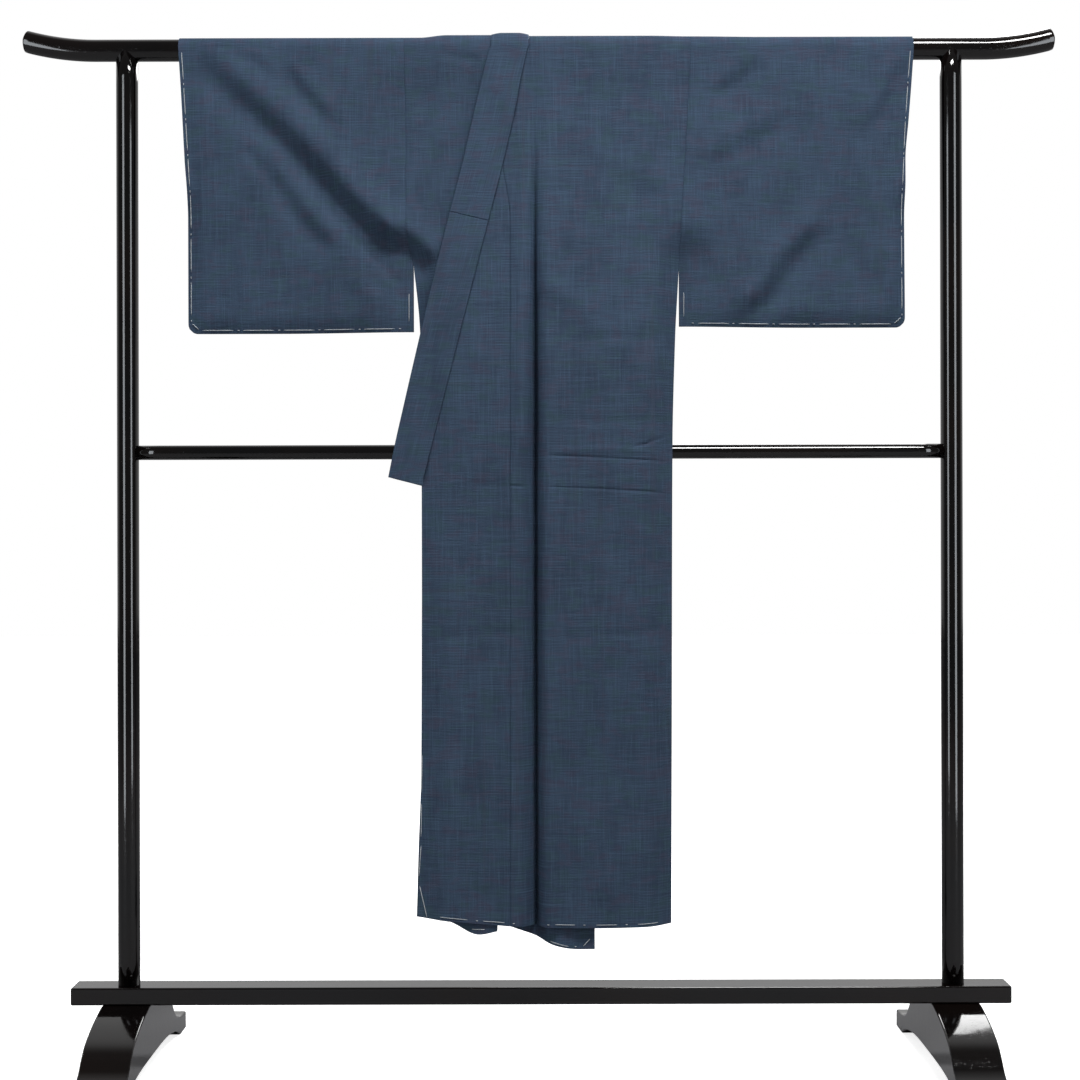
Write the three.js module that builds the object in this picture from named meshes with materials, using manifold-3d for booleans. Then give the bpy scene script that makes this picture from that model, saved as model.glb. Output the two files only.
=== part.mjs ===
// A man's tsumugi kimono hung by its sleeves and shoulders on a lacquered stand.
// Millimetres, +Z up. The viewer stands on the -Y side, and +X is the viewer's right.
// The origin is on the floor under the middle of the stand.
// The names left and right of the garment's pieces are the wearer's, who faces the viewer.

import * as THREE from 'three';
import Module from 'manifold-3d';
import { mergeVertices } from 'three/addons/utils/BufferGeometryUtils.js';

const wasm = await Module();
wasm.setup();

// Driving dimensions of the stand
const RAIL_RADIUS = 18;
const RAIL_HEIGHT = 1697;
const RAIL_HALF_LENGTH = 853;
const RAIL_BEND_START = 735;
const RAIL_TIP_RISE = 16;
const POST_RADIUS = 18;
const POST_X = 684;
const MIDDLE_RAIL_RADIUS = 12;
const MIDDLE_RAIL_HEIGHT = 1029;
const BEAM_LENGTH = 1551;
const BEAM_DEPTH = 55;
const BEAM_BOTTOM = 117;
const BEAM_TOP = 146;
const BEAM_BEVEL = 3;
const FOOT_WIDTH = 80;
const FOOT_REACH = 286;
const FOOT_SEAT = 31.5;
const FOOT_TOE_HEIGHT = 30;
const FOOT_PAD_LENGTH = 50;
const FOOT_BEVEL = 3;
const JOINT_GAP = 0.3;
const ROUND_SIDES = 24;
const FOOT_CURVE_STEPS = 3;

// A foot's back between the beam and the toe, and its arch: distance from the middle and height
const FOOT_BACK = [[70, 109], [110, 98], [146, 84], [168, 68], [188, 50], [212, 38], [245, 32]];
const FOOT_ARCH = [[204, 13], [171, 20], [124, 26], [60, 28.5]];

// Driving dimensions of the cloth
const CLOTH = 1.4;
const COLLAR_CLOTH = 3;
const SEAM_GAP = 0.8;
const RAIL_CLEARANCE = 0.7;
const ON_RAIL = RAIL_RADIUS + RAIL_CLEARANCE + CLOTH / 2;
const LAYER_STEP = 2;
const COLLAR_OUT = LAYER_STEP + 0.7;
const SIDE_EDGE = CLOTH / 2 + 0.2;
const SIDE_TAPER = 48;
const ARMHOLE_BOTTOM = 1331;
const ARMHOLE_EASE = 80;
const ARMHOLE_BLEND = 90;
const CUFF_BOTTOM = 1447;
const CUFF_TAPER = 30;
const SLEEVE_THIN_DEPTH = 10;
const SLEEVE_BOTTOM_TAPER = 34;
const SLEEVE_SWING_REACH = 220;
const NECK_BACK = 1640;
const NECK_BACK_STEP = 6;
const PLEAT_FOLD_X = -71;
const PLEAT_INNER_X = -132;
const CENTRE_BACK_X = -56;
const VALLEY = { x: -8, zone: 24 };
const VALLEY_TOP = { width: 10, depth: 17 };
const VALLEY_UNDER = { width: 20, depth: 9 };
const LOOP_BOTTOM = 1645;
const COLLAR_FLAT_FROM = -175;

// Changes of depth below the rail: how much, the height where each starts and the fall it takes
const SWING = { depth: 33, from: 1640, over: 540 };
const EASE = { depth: 3, from: 1650, over: 300 };
const RECESS = { depth: 7, from: 1690, over: 100 };
const LAP = { depth: 2, from: 1640, over: 100 };
const BACK_DRAW = { depth: 7, from: 1650, over: 400 };
const SLEEVE_DRAW = { depth: ON_RAIL - SLEEVE_THIN_DEPTH, from: 1680, over: 380 };
const VALLEY_GROWTH = { depth: 1, from: 1690, over: 700 };
const BACK_RIPPLE = { depth: 2.5, from: 900, over: 200 };

// Changes of depth towards an edge: how much, the x where each starts and the width it takes
const OUTER_EDGE_DROP = { depth: 2, from: 180, over: 70 };
const FREE_EDGE_DROP = { depth: 10, from: -206, over: 60 };
const PLEAT_SIDE_DROP = { from: -198, over: 45 };
const FOLDS_UNDER_COLLAR = { from: -145, over: 30 };

// Small helpers
const clamp = (t) => Math.min(1, Math.max(0, t));
const smooth = (t) => clamp(t) ** 2 * (3 - 2 * clamp(t));
const mix = (a, b, t) => a + (b - a) * t;

// Value of a column at height z in a table whose rows run from high z to low z
function atHeight(rows, z, column) {
  if (z >= rows[0].z) return rows[0][column];
  for (let i = 1; i < rows.length; i += 1) {
    if (z >= rows[i].z) {
      const t = (rows[i - 1].z - z) / (rows[i - 1].z - rows[i].z);
      return mix(rows[i - 1][column], rows[i][column], t);
    }
  }
  return rows[rows.length - 1][column];
}

// Even steps from a to b, both ends included
function steps(a, b, count) {
  return Array.from({ length: count + 1 }, (_, i) => mix(a, b, i / count));
}

// Outlines of the garment, from the top down
const LEFT_COLLAR = [
  { z: 1700, free: -76.5, seam: -16.5 },
  { z: 1682, free: -87, seam: -24 },
  { z: 1642, free: -94, seam: -30 },
  { z: 1597, free: -103, seam: -38 },
  { z: 1521, free: -121, seam: -55 },
  { z: 1420, free: -147, seam: -80 },
  { z: 1340, free: -167, seam: -100 },
  { z: 1236, free: -191, seam: -126 },
  { z: 1120, free: -218, seam: -155 },
  { z: 1046, free: -235, seam: -174 },
  { z: 982, free: -248, seam: -190 },
];
const RIGHT_COLLAR = [
  { z: 1697, seam: -69.5, free: -16.5 },
  { z: 1655, seam: -67, free: -13 },
  { z: 1597, seam: -54, free: 10 },
  { z: 1521, seam: -37, free: 29 },
  { z: 1420, seam: -12, free: 56 },
  { z: 1340, seam: 8, free: 76 },
  { z: 1236, seam: 35, free: 101 },
  { z: 1120, seam: 64, free: 128 },
  { z: 1046, seam: 83, free: 145 },
  { z: 982, seam: 98, free: 157 },
];
const SIDE_SEAMS = [
  { z: 1720, right: -223, left: 252 },
  { z: 1556, right: -221, left: 243 },
  { z: 1399, right: -219, left: 233 },
  { z: 1331, right: -207, left: 230 },
  { z: 1212, right: -196, left: 223 },
  { z: 1036, right: -194, left: 218 },
  { z: 410, right: -194, left: 215 },
  { z: 250, right: -195, left: 214 },
];
const OKUMI_SEAMS = [
  { z: 1500, left: -60.2, right: -31.8 },
  { z: 1411, left: -48, right: -30 },
  { z: 250, left: -50, right: -59 },
];
const FRONT_EDGES = [
  { z: 972, left: -193, right: 97 },
  { z: 851, left: -193, right: 96 },
  { z: 511, left: -195, right: 92 },
  { z: 365, left: -200, right: 90 },
  { z: 262, left: -203, right: 88 },
];
const SLEEVE_EDGES = [
  { z: 1717, left: 620, right: -597 },
  { z: 1673, left: 618, right: -594 },
  { z: 1577, left: 611, right: -589 },
  { z: 1509, left: 606, right: -586 },
  { z: 1459, left: 606, right: -583 },
  { z: 1247, left: 607, right: -583 },
];
const SLEEVE_BOTTOM = { left: 1234, right: 1226 };
const SLEEVE_CORNER = 16;
const COLLAR_END = 978;
const OVER_COLLAR_END = 1414;
const COLLAR_TILT = 15;
const KENSAKI = 1500;
const OKUMI_TOP = KENSAKI - 12;
const NARROWEST = 2;
const BACK_HEM = 266;

// Lower edges of the fronts, from the viewer's left to the viewer's right
const LEFT_HEM = [
  { x: -203, z: 268 },
  { x: -150, z: 261 },
  { x: -62, z: 255 },
  { x: 87, z: 249.5 },
  { x: 214, z: 253 },
];
const RIGHT_HEM = [
  { x: -195, z: 266 },
  { x: -152, z: 260 },
  { x: -102, z: 239 },
  { x: -70, z: 245 },
];
const RIGHT_OKUMI_HEM = [
  { x: -60, z: 256 },
  { x: -12, z: 234 },
  { x: 22, z: 220 },
  { x: 65, z: 213 },
  { x: 88, z: 213 },
];
const PLEAT_HIDDEN_HEM = 258;

// Diagonal folds: the cloth stands out above each line and falls back below it
const SLEEVE_RIGHT_FOLDS = [
  { x1: -573, z1: 1695, x2: -160, z2: 1326, start: 4, end: 12, reach: 30 },
  { x1: -478, z1: 1552, x2: -325, z2: 1362, start: 2, end: 4, reach: 24 },
];
const SLEEVE_LEFT_FOLDS = [
  { x1: 481, z1: 1420, x2: 327, z2: 1247, start: 5, end: 6, reach: 28 },
  { x1: 355, z1: 1675, x2: 279, z2: 1622, start: 3, end: 3, reach: 20 },
  { x1: 590, z1: 1640, x2: 540, z2: 1550, start: 2, end: 4, reach: 20 },
];
const BACK_FOLDS = [
  { x1: -560, z1: 1660, x2: -230, z2: 1380, start: 3, end: 6, reach: 32 },
  { x1: 575, z1: 1640, x2: 262, z2: 1395, start: 3, end: 6, reach: 32 },
  { x1: -330, z1: 1400, x2: -480, z2: 1260, start: 4, end: 4, reach: 26 },
];

// Height of a lower edge at x
function hemAt(rows, x) {
  if (x <= rows[0].x) return rows[0].z;
  for (let i = 1; i < rows.length; i += 1) {
    if (x <= rows[i].x) {
      const t = (x - rows[i - 1].x) / (rows[i].x - rows[i - 1].x);
      return mix(rows[i - 1].z, rows[i].z, t);
    }
  }
  return rows[rows.length - 1].z;
}

// How far the folds push the cloth out (+) or in (-) at a point
function foldRelief(folds, x, z) {
  const fade = 45;
  const peak = 2.33;
  let relief = 0;
  for (const fold of folds) {
    const dx = fold.x2 - fold.x1;
    const dz = fold.z2 - fold.z1;
    const length = Math.hypot(dx, dz);
    const along = ((x - fold.x1) * dx + (z - fold.z1) * dz) / length;
    const above = (((z - fold.z1) * dx - (x - fold.x1) * dz) / length) * Math.sign(dx);
    const ends = smooth(along / fade) * smooth((length - along) / fade);
    const s = above / fold.reach;
    const size = mix(fold.start, fold.end, clamp(along / length));
    relief += size * peak * s * Math.exp(-s * s) * ends;
  }
  return relief;
}

// A closed wall of even thickness around the middle surface pointAt(u, v)
function clothWall(columns, rows, pointAt, thickness) {
  const small = 0.002;
  const across = columns.length;
  const positions = { outer: [], inner: [] };
  for (const v of rows) {
    for (const u of columns) {
      const uLow = Math.max(columns[0], u - small);
      const uHigh = Math.min(columns[across - 1], u + small);
      const vLow = Math.max(rows[0], v - small);
      const vHigh = Math.min(rows[rows.length - 1], v + small);
      const du = pointAt(uHigh, v).sub(pointAt(uLow, v));
      const dv = pointAt(u, vHigh).sub(pointAt(u, vLow));
      const normal = du.cross(dv).normalize().multiplyScalar(thickness / 2);
      positions.outer.push(pointAt(u, v).add(normal));
      positions.inner.push(pointAt(u, v).sub(normal));
    }
  }
  const shift = positions.outer.length;
  const points = [...positions.outer, ...positions.inner];
  const indices = [];
  const quad = (a, b, c, d) => indices.push(a, b, c, a, c, d);
  const at = (row, column) => row * across + column;
  for (let r = 0; r < rows.length - 1; r += 1) {
    for (let c = 0; c < across - 1; c += 1) {
      const [a, b, e, d] = [at(r, c), at(r, c + 1), at(r + 1, c + 1), at(r + 1, c)];
      quad(a, b, e, d);
      quad(shift + d, shift + e, shift + b, shift + a);
    }
    const [a, d] = [at(r, 0), at(r + 1, 0)];
    quad(shift + d, shift + a, a, d);
    const [b, e] = [at(r, across - 1), at(r + 1, across - 1)];
    quad(shift + b, shift + e, e, b);
  }
  for (let c = 0; c < across - 1; c += 1) {
    const [a, b] = [at(0, c), at(0, c + 1)];
    quad(shift + a, shift + b, b, a);
    const [d, e] = [at(rows.length - 1, c), at(rows.length - 1, c + 1)];
    quad(d, e, shift + e, shift + d);
  }
  const geometry = new THREE.BufferGeometry().setFromPoints(points);
  geometry.setIndex(indices);
  geometry.computeVertexNormals();
  return geometry;
}

// Rows of a sheet that hangs over the rail: 0 to 1 up the front, 1 to 2 over, 2 to 3 down the back
function overRailRows(frontHem, frontHeights, arcSteps, backHem, backHeights) {
  const front = frontHeights.map((z) => (z - frontHem) / (RAIL_HEIGHT - frontHem));
  const arc = steps(1, 2, arcSteps);
  const back = backHeights.map((z) => 2 + (RAIL_HEIGHT - z) / (RAIL_HEIGHT - backHem));
  return [...front, ...arc, ...back];
}

// Height on the front or the back for row value v and the hems of this column
function rowHeight(v, frontHem, backHem) {
  if (v < 1) return mix(frontHem, RAIL_HEIGHT, v);
  if (v > 2) return mix(RAIL_HEIGHT, backHem, v - 2);
  return RAIL_HEIGHT;
}

// Point at row value v, given the depths in front of and behind the middle plane
function overRailPoint(x, z, v, frontDepth, backDepth, middle) {
  if (v < 1) return new THREE.Vector3(x, middle - frontDepth, z);
  if (v > 2) return new THREE.Vector3(x, middle + backDepth, z);
  const angle = (v - 1) * Math.PI;
  const radius = mix(frontDepth, backDepth, v - 1);
  return new THREE.Vector3(x, -radius * Math.cos(angle), RAIL_HEIGHT + radius * Math.sin(angle));
}

// The share of a change that has been made at height z
const fallen = ({ depth, from, over }, z) => depth * smooth((from - z) / over);

// The body hangs in front of the middle rail, so it swings forward below the top rail
const bodyMiddle = (z) => -fallen(SWING, z);

// The side seams are sewn shut below the armhole
const sideClosed = (z) => smooth((ARMHOLE_BOTTOM + ARMHOLE_EASE - z) / ARMHOLE_EASE);

function closeAtSide(depth, x, z, side) {
  const edge = atHeight(SIDE_SEAMS, z, side);
  const rounded = Math.sin((clamp(Math.abs(x - edge) / SIDE_TAPER) * Math.PI) / 2);
  return mix(depth, mix(SIDE_EDGE, depth, rounded), sideClosed(z));
}

// The deep vertical fold: it goes in at the middle, with a low lobe on each side
function valley(x, z, { width, depth }) {
  const lobe = { height: 0.3, at: 2.6, width: 1.2 };
  const s = (x - VALLEY.x) / width;
  const lobes = lobe.height * Math.exp(-(((Math.abs(s) - lobe.at) / lobe.width) ** 2));
  return depth * fallen(VALLEY_GROWTH, z) * (lobes - Math.exp(-s * s));
}

// The pleat's layers close up at the side seam
const pleatedDrop = (x, layer) => {
  const near = 1 - smooth((x - PLEAT_SIDE_DROP.from) / PLEAT_SIDE_DROP.over);
  return LAYER_STEP * layer * near;
};

function rightFrontDepth(x, z, layer) {
  const flat = ON_RAIL + fallen(EASE, z) - fallen(RECESS, z) + LAYER_STEP * layer - pleatedDrop(x, layer);
  const shown = smooth((FOLDS_UNDER_COLLAR.from - x) / FOLDS_UNDER_COLLAR.over);
  return flat + foldRelief(SLEEVE_RIGHT_FOLDS, x, z) * shown + valley(x, z, VALLEY_UNDER);
}

function leftFrontDepth(x, z) {
  const outer = OUTER_EDGE_DROP;
  const outerEdge = outer.depth * smooth((x - outer.from) / outer.over);
  const free = FREE_EDGE_DROP;
  const freeEdge = free.depth * (1 - smooth((x - free.from) / free.over)) * sideClosed(z);
  const flat = ON_RAIL + 2 * LAYER_STEP + fallen(EASE, z) + fallen(LAP, z);
  return flat - outerEdge - freeEdge + valley(x, z, VALLEY_TOP);
}

function backDepth(x, z, layer) {
  const wave = { x: 23, z: 900 };
  const ripple = fallen(BACK_RIPPLE, z) * Math.sin(x / wave.x + z / wave.z);
  return ON_RAIL - fallen(BACK_DRAW, z) + LAYER_STEP * layer + ripple;
}

// Neckline: the back panels' inner edges meet at the centre back seam below it
const belowNeck = (z) => smooth((NECK_BACK - z) / NECK_BACK_STEP);

// Body panel on the viewer's left, with the knife pleat that runs its whole length
function rightSection(u, z, innerEdge) {
  const turn = LAYER_STEP / 2;
  const side = atHeight(SIDE_SEAMS, z, 'right');
  const angle = (u % 1) * Math.PI;
  if (u <= 1) return { x: mix(side, PLEAT_FOLD_X - turn, u), layer: 2 };
  if (u < 2) {
    return { x: PLEAT_FOLD_X - turn + turn * Math.sin(angle), layer: 1.5 + 0.5 * Math.cos(angle) };
  }
  if (u <= 3) return { x: mix(PLEAT_FOLD_X - turn, PLEAT_INNER_X + turn, u - 2), layer: 1 };
  if (u < 4) {
    return { x: PLEAT_INNER_X + turn - turn * Math.sin(angle), layer: 0.5 + 0.5 * Math.cos(angle) };
  }
  return { x: mix(PLEAT_INNER_X + turn, innerEdge, u - 4), layer: 0 };
}

function makeBodyRight() {
  const frontInner = (z) => {
    if (z < KENSAKI) return atHeight(OKUMI_SEAMS, z, 'right') - SEAM_GAP / 2;
    return atHeight(RIGHT_COLLAR, z, 'seam') - SEAM_GAP;
  };
  const neckEdge = RIGHT_COLLAR[0].seam - SEAM_GAP;
  const backInner = (z) => mix(neckEdge, CENTRE_BACK_X - SEAM_GAP / 2, belowNeck(z));
  const pointAt = (u, v) => {
    const nominal = rowHeight(v, PLEAT_HIDDEN_HEM, BACK_HEM);
    const innerEdge = v < 1 ? frontInner(nominal) : backInner(nominal);
    const { x, layer } = rightSection(u, nominal, innerEdge);
    const shown = smooth(layer - 1);
    const z = rowHeight(v, mix(PLEAT_HIDDEN_HEM, hemAt(RIGHT_HEM, x), shown), BACK_HEM);
    const front = closeAtSide(rightFrontDepth(x, z, layer), x, z, 'right');
    const back = closeAtSide(backDepth(x, z, layer) - pleatedDrop(x, layer), x, z, 'right');
    return overRailPoint(x, z, v, front, back, bodyMiddle(z));
  };
  const columns = [
    ...steps(0, 0.4, 4),
    ...[0.6, 0.8, 1],
    ...[1.25, 1.5, 1.75],
    ...[2, 2.5, 3],
    ...[3.25, 3.5, 3.75],
    ...[4, 4.35, 4.7, 5],
  ];
  const frontHeights = [258, 360, 600, 850, 1060, 1200, 1290, 1331, 1370, 1411, 1500, 1521, 1597, 1655];
  const backHeights = [1660, 1640, 1634, 1560, 1411, 1331, 1200, 1060, 850, 560, 266];
  const rows = overRailRows(PLEAT_HIDDEN_HEM, frontHeights, 8, BACK_HEM, backHeights);
  return clothWall(columns, rows, pointAt, CLOTH);
}

// Body panel on the viewer's right, with the deep vertical valley beside the collar
function makeBodyLeft() {
  const { x: valleyX, zone } = VALLEY;
  const frontInner = (z) => {
    if (z < KENSAKI) return atHeight(OKUMI_SEAMS, z, 'left') + SEAM_GAP / 2;
    return atHeight(LEFT_COLLAR, z, 'seam') + SEAM_GAP;
  };
  const neckEdge = LEFT_COLLAR[0].seam + SEAM_GAP;
  const backInner = (z) => mix(neckEdge, CENTRE_BACK_X + SEAM_GAP / 2, belowNeck(z));
  const pointAt = (u, v) => {
    const nominal = rowHeight(v, LEFT_HEM[3].z, BACK_HEM);
    const inner = v < 1 ? frontInner(nominal) : backInner(nominal);
    const zoneStart = Math.max(valleyX - zone, inner + NARROWEST);
    const side = atHeight(SIDE_SEAMS, nominal, 'left');
    let x = mix(inner, zoneStart, u);
    if (u > 1) x = mix(zoneStart, valleyX + zone, u - 1);
    if (u > 2) x = mix(valleyX + zone, side, u - 2);
    const z = rowHeight(v, hemAt(LEFT_HEM, x), BACK_HEM);
    const front = closeAtSide(leftFrontDepth(x, z), x, z, 'left');
    const back = closeAtSide(backDepth(x, z, 0), x, z, 'left');
    return overRailPoint(x, z, v, front, back, bodyMiddle(z));
  };
  const columns = [
    ...[0, 0.5, 1],
    ...[1.18, 1.32, 1.42, 1.5, 1.58, 1.68, 1.82, 2],
    ...[2.2, 2.4, 2.6, 2.76, 2.82, 2.88, 2.94, 3],
  ];
  const frontHeights = [249.5, 400, 700, 950, 1150, 1290, 1331, 1370, 1411, 1500, 1521, 1597, 1642, 1682];
  const backHeights = [1660, 1640, 1634, 1560, 1411, 1331, 1200, 1060, 850, 560, 266];
  const rows = overRailRows(LEFT_HEM[3].z, frontHeights, 8, BACK_HEM, backHeights);
  return clothWall(columns, rows, pointAt, CLOTH);
}

// Overlap panels, from the okumi seam to the front edge and the collar
function makeOkumiLeft() {
  const top = OKUMI_TOP;
  const acrossAt = (u, z) => {
    const seam = atHeight(OKUMI_SEAMS, z, 'left') - SEAM_GAP / 2;
    const collar = atHeight(LEFT_COLLAR, z, 'seam') + SEAM_GAP;
    const edge = z > COLLAR_END - 6 ? collar : atHeight(FRONT_EDGES, z, 'left');
    return mix(Math.min(edge, seam - NARROWEST), seam, u);
  };
  const pointAt = (u, v) => {
    const nominal = mix(LEFT_HEM[1].z, top, v);
    const z = mix(hemAt(LEFT_HEM, acrossAt(u, nominal)), top, v);
    const x = acrossAt(u, z);
    return new THREE.Vector3(x, bodyMiddle(z) - leftFrontDepth(x, z), z);
  };
  const heights = [261, 370, 520, 700, 850, 972, 1046, 1120, 1236, 1340, 1411, 1450, top];
  const rows = heights.map((z) => (z - LEFT_HEM[1].z) / (top - LEFT_HEM[1].z));
  return clothWall([0, 0.15, 0.3, 0.5, 0.75, 1], rows, pointAt, CLOTH);
}

function makeOkumiRight() {
  const top = OKUMI_TOP;
  const hem = RIGHT_OKUMI_HEM[2].z;
  const acrossAt = (u, z) => {
    const seam = atHeight(OKUMI_SEAMS, z, 'right') + SEAM_GAP / 2;
    const collar = atHeight(RIGHT_COLLAR, z, 'seam') - SEAM_GAP;
    const edge = z > COLLAR_END - 6 ? collar : atHeight(FRONT_EDGES, z, 'right');
    return mix(seam, Math.max(edge, seam + NARROWEST), u);
  };
  const pointAt = (u, v) => {
    const nominal = mix(hem, top, v);
    const z = mix(hemAt(RIGHT_OKUMI_HEM, acrossAt(u, nominal)), top, v);
    const x = acrossAt(u, z);
    return new THREE.Vector3(x, bodyMiddle(z) - rightFrontDepth(x, z, 0), z);
  };
  const heights = [hem, 300, 500, 750, 972, 1046, 1120, 1236, 1340, 1411, 1450, top];
  const rows = heights.map((z) => (z - hem) / (top - hem));
  return clothWall([0, 0.12, 0.23, 0.335, 0.44, 0.56, 0.78, 1], rows, pointAt, CLOTH);
}

// Sleeves: one cloth over the rail, its seams shut below the cuff and along the bottom
function makeSleeve(side) {
  const bottom = SLEEVE_BOTTOM[side];
  const toOuter = side === 'left' ? 1 : -1;
  const folds = side === 'left' ? SLEEVE_LEFT_FOLDS : SLEEVE_RIGHT_FOLDS;
  const railExtra = side === 'left' ? LAYER_STEP : 0;
  const extraReach = 120;
  const innerAt = (z) => atHeight(SIDE_SEAMS, Math.max(z, ARMHOLE_BOTTOM), side) + toOuter * SEAM_GAP;
  const outerAt = (z) => {
    const up = Math.min(z - bottom, SLEEVE_CORNER);
    const inset = SLEEVE_CORNER - Math.sqrt(SLEEVE_CORNER ** 2 - (SLEEVE_CORNER - up) ** 2);
    return atHeight(SLEEVE_EDGES, z, side) - toOuter * inset;
  };
  const closed = (distance, reach) => Math.sin((clamp(distance / reach) * Math.PI) / 2);
  const depthAt = (x, z, relief, armhole) => {
    const fromInner = Math.abs(x - innerAt(z));
    const fromOuter = Math.abs(atHeight(SLEEVE_EDGES, z, side) - x);
    const own = ON_RAIL - fallen(SLEEVE_DRAW, z);
    const joined = mix(armhole, own + relief, smooth(fromInner / ARMHOLE_BLEND));
    const belowCuff = smooth((CUFF_BOTTOM + CUFF_TAPER - z) / (2 * CUFF_TAPER));
    const belowArmhole = smooth((ARMHOLE_BOTTOM - z) / CUFF_TAPER);
    const outer = mix(1, closed(fromOuter, CUFF_TAPER), belowCuff);
    const inner = mix(1, closed(fromInner, CUFF_TAPER), belowArmhole);
    const shut = closed(z - bottom, SLEEVE_BOTTOM_TAPER) * outer * inner;
    return SIDE_EDGE + (Math.max(joined, SIDE_EDGE + 1) - SIDE_EDGE) * shut;
  };
  const armholeEdge = (z, open) => mix(open, SIDE_EDGE + 1, sideClosed(Math.max(z, ARMHOLE_BOTTOM)));
  const pointAt = (u, v) => {
    const z = rowHeight(v, bottom, bottom);
    const inner = innerAt(z);
    const outer = outerAt(z);
    const x = side === 'left' ? mix(inner, outer, u) : mix(outer, inner, u);
    const openFront = side === 'left' ? leftFrontDepth(inner, z) : rightFrontDepth(inner, z, 2);
    const front = depthAt(x, z, foldRelief(folds, x, z), armholeEdge(z, openFront));
    const openBack = backDepth(inner, z, 0);
    const back = depthAt(x, z, foldRelief(BACK_FOLDS, x, z), armholeEdge(z, openBack));
    const fromInner = Math.abs(x - inner);
    const hang = bodyMiddle(Math.max(z, ARMHOLE_BOTTOM)) * (1 - smooth(fromInner / SLEEVE_SWING_REACH));
    const extra = railExtra * (1 - smooth(fromInner / extraReach));
    if (v >= 1 && v <= 2) {
      return overRailPoint(x, z, v, ON_RAIL + extra, ON_RAIL, 0);
    }
    return overRailPoint(x, z, v, front, back, hang);
  };
  const heights = [0, 5, 16, 34, 60, 97, 135, 177, 220, 265, 310, 355, 400, 435].map((h) => bottom + h);
  const backHeights = [0, 5, 16, 34, 70, 110, 170, 220, 280, 340, 400].map((h) => bottom + h).reverse();
  const rows = overRailRows(bottom, heights, 8, bottom, backHeights);
  const columns = side === 'left'
    ? [0, 0.04, 0.08, 0.16, 0.24, 0.32, 0.4, 0.48, 0.56, 0.64, 0.72, 0.8, 0.88, 0.93, 0.97, 1]
    : [0, 0.03, 0.07, 0.12, 0.2, 0.28, 0.36, 0.44, 0.52, 0.6, 0.68, 0.76, 0.84, 0.92, 0.96, 1];
  return clothWall(columns, rows, pointAt, CLOTH);
}

// Collar: the lower runs, then the neck run that passes over the rail and turns behind it
const collarOuter = (x, z) =>
  leftFrontDepth(Math.max(x, COLLAR_FLAT_FROM), z) - fallen(LAP, z) + COLLAR_OUT;
const collarInner = (x, z) => rightFrontDepth(x, z, 0) + (COLLAR_CLOTH - CLOTH) / 2;

function makeCollarLeft() {
  const top = OVER_COLLAR_END - SEAM_GAP;
  const pointAt = (u, v) => {
    const z = mix(COLLAR_END, top, v) + COLLAR_TILT * (0.5 - u);
    const x = mix(atHeight(LEFT_COLLAR, z, 'free'), atHeight(LEFT_COLLAR, z, 'seam'), u);
    return new THREE.Vector3(x, bodyMiddle(z) - collarOuter(x, z), z);
  };
  return clothWall(steps(0, 1, 4), steps(0, 1, 10), pointAt, COLLAR_CLOTH);
}

function makeCollarRight() {
  const top = OVER_COLLAR_END - SEAM_GAP;
  const pointAt = (u, v) => {
    const z = mix(COLLAR_END, top, v) + COLLAR_TILT * (u - 0.5);
    const x = mix(atHeight(RIGHT_COLLAR, z, 'seam'), atHeight(RIGHT_COLLAR, z, 'free'), u);
    return new THREE.Vector3(x, bodyMiddle(z) - collarInner(x, z), z);
  };
  return clothWall(steps(0, 1, 4), steps(0, 1, 10), pointAt, COLLAR_CLOTH);
}

function makeOverCollar() {
  const outer = ON_RAIL + 2 * LAYER_STEP + COLLAR_OUT;
  const inner = ON_RAIL + (COLLAR_CLOTH - CLOTH) / 2;
  const turn = (outer - inner) / 2;
  const { free, seam } = LEFT_COLLAR[0];
  const over = (x, radius, angle) => new THREE.Vector3(
    x,
    -radius * Math.cos(angle),
    RAIL_HEIGHT + radius * Math.sin(angle),
  );
  const pointAt = (u, v) => {
    if (v < 1) {
      const tilt = COLLAR_TILT * (0.5 - u) * smooth((1 - v) * 2);
      const z = mix(OVER_COLLAR_END, RAIL_HEIGHT, v) + tilt;
      const x = mix(atHeight(LEFT_COLLAR, z, 'free'), atHeight(LEFT_COLLAR, z, 'seam'), u);
      return new THREE.Vector3(x, bodyMiddle(z) - collarOuter(x, z), z);
    }
    const x = mix(mix(free, RIGHT_COLLAR[0].seam, smooth(v - 2)), seam, u);
    if (v <= 2) return over(x, outer, (v - 1) * Math.PI);
    if (v <= 3) return new THREE.Vector3(x, outer, mix(RAIL_HEIGHT, LOOP_BOTTOM, v - 2));
    if (v <= 4) {
      const angle = (v - 3) * Math.PI;
      const y = inner + turn * (1 + Math.cos(angle));
      return new THREE.Vector3(x, y, LOOP_BOTTOM - turn * Math.sin(angle));
    }
    if (v <= 5) return new THREE.Vector3(x, inner, mix(LOOP_BOTTOM, RAIL_HEIGHT, v - 4));
    if (v <= 6) return over(x, inner, (6 - v) * Math.PI);
    const tilt = COLLAR_TILT * (u - 0.5) * smooth((v - 6) * 2);
    const z = mix(RAIL_HEIGHT, OVER_COLLAR_END, v - 6) + tilt;
    const across = mix(atHeight(RIGHT_COLLAR, z, 'seam'), atHeight(RIGHT_COLLAR, z, 'free'), u);
    return new THREE.Vector3(across, bodyMiddle(z) - collarInner(across, z), z);
  };
  const rows = [
    ...steps(0, 0.875, 7),
    ...[0.95],
    ...steps(1, 2, 10),
    ...[2.5],
    ...steps(3, 4, 4),
    ...[4.5],
    ...steps(5, 6, 10),
    ...steps(6.125, 7, 7),
  ];
  return clothWall(steps(0, 1, 4), rows, pointAt, COLLAR_CLOTH);
}

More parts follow.
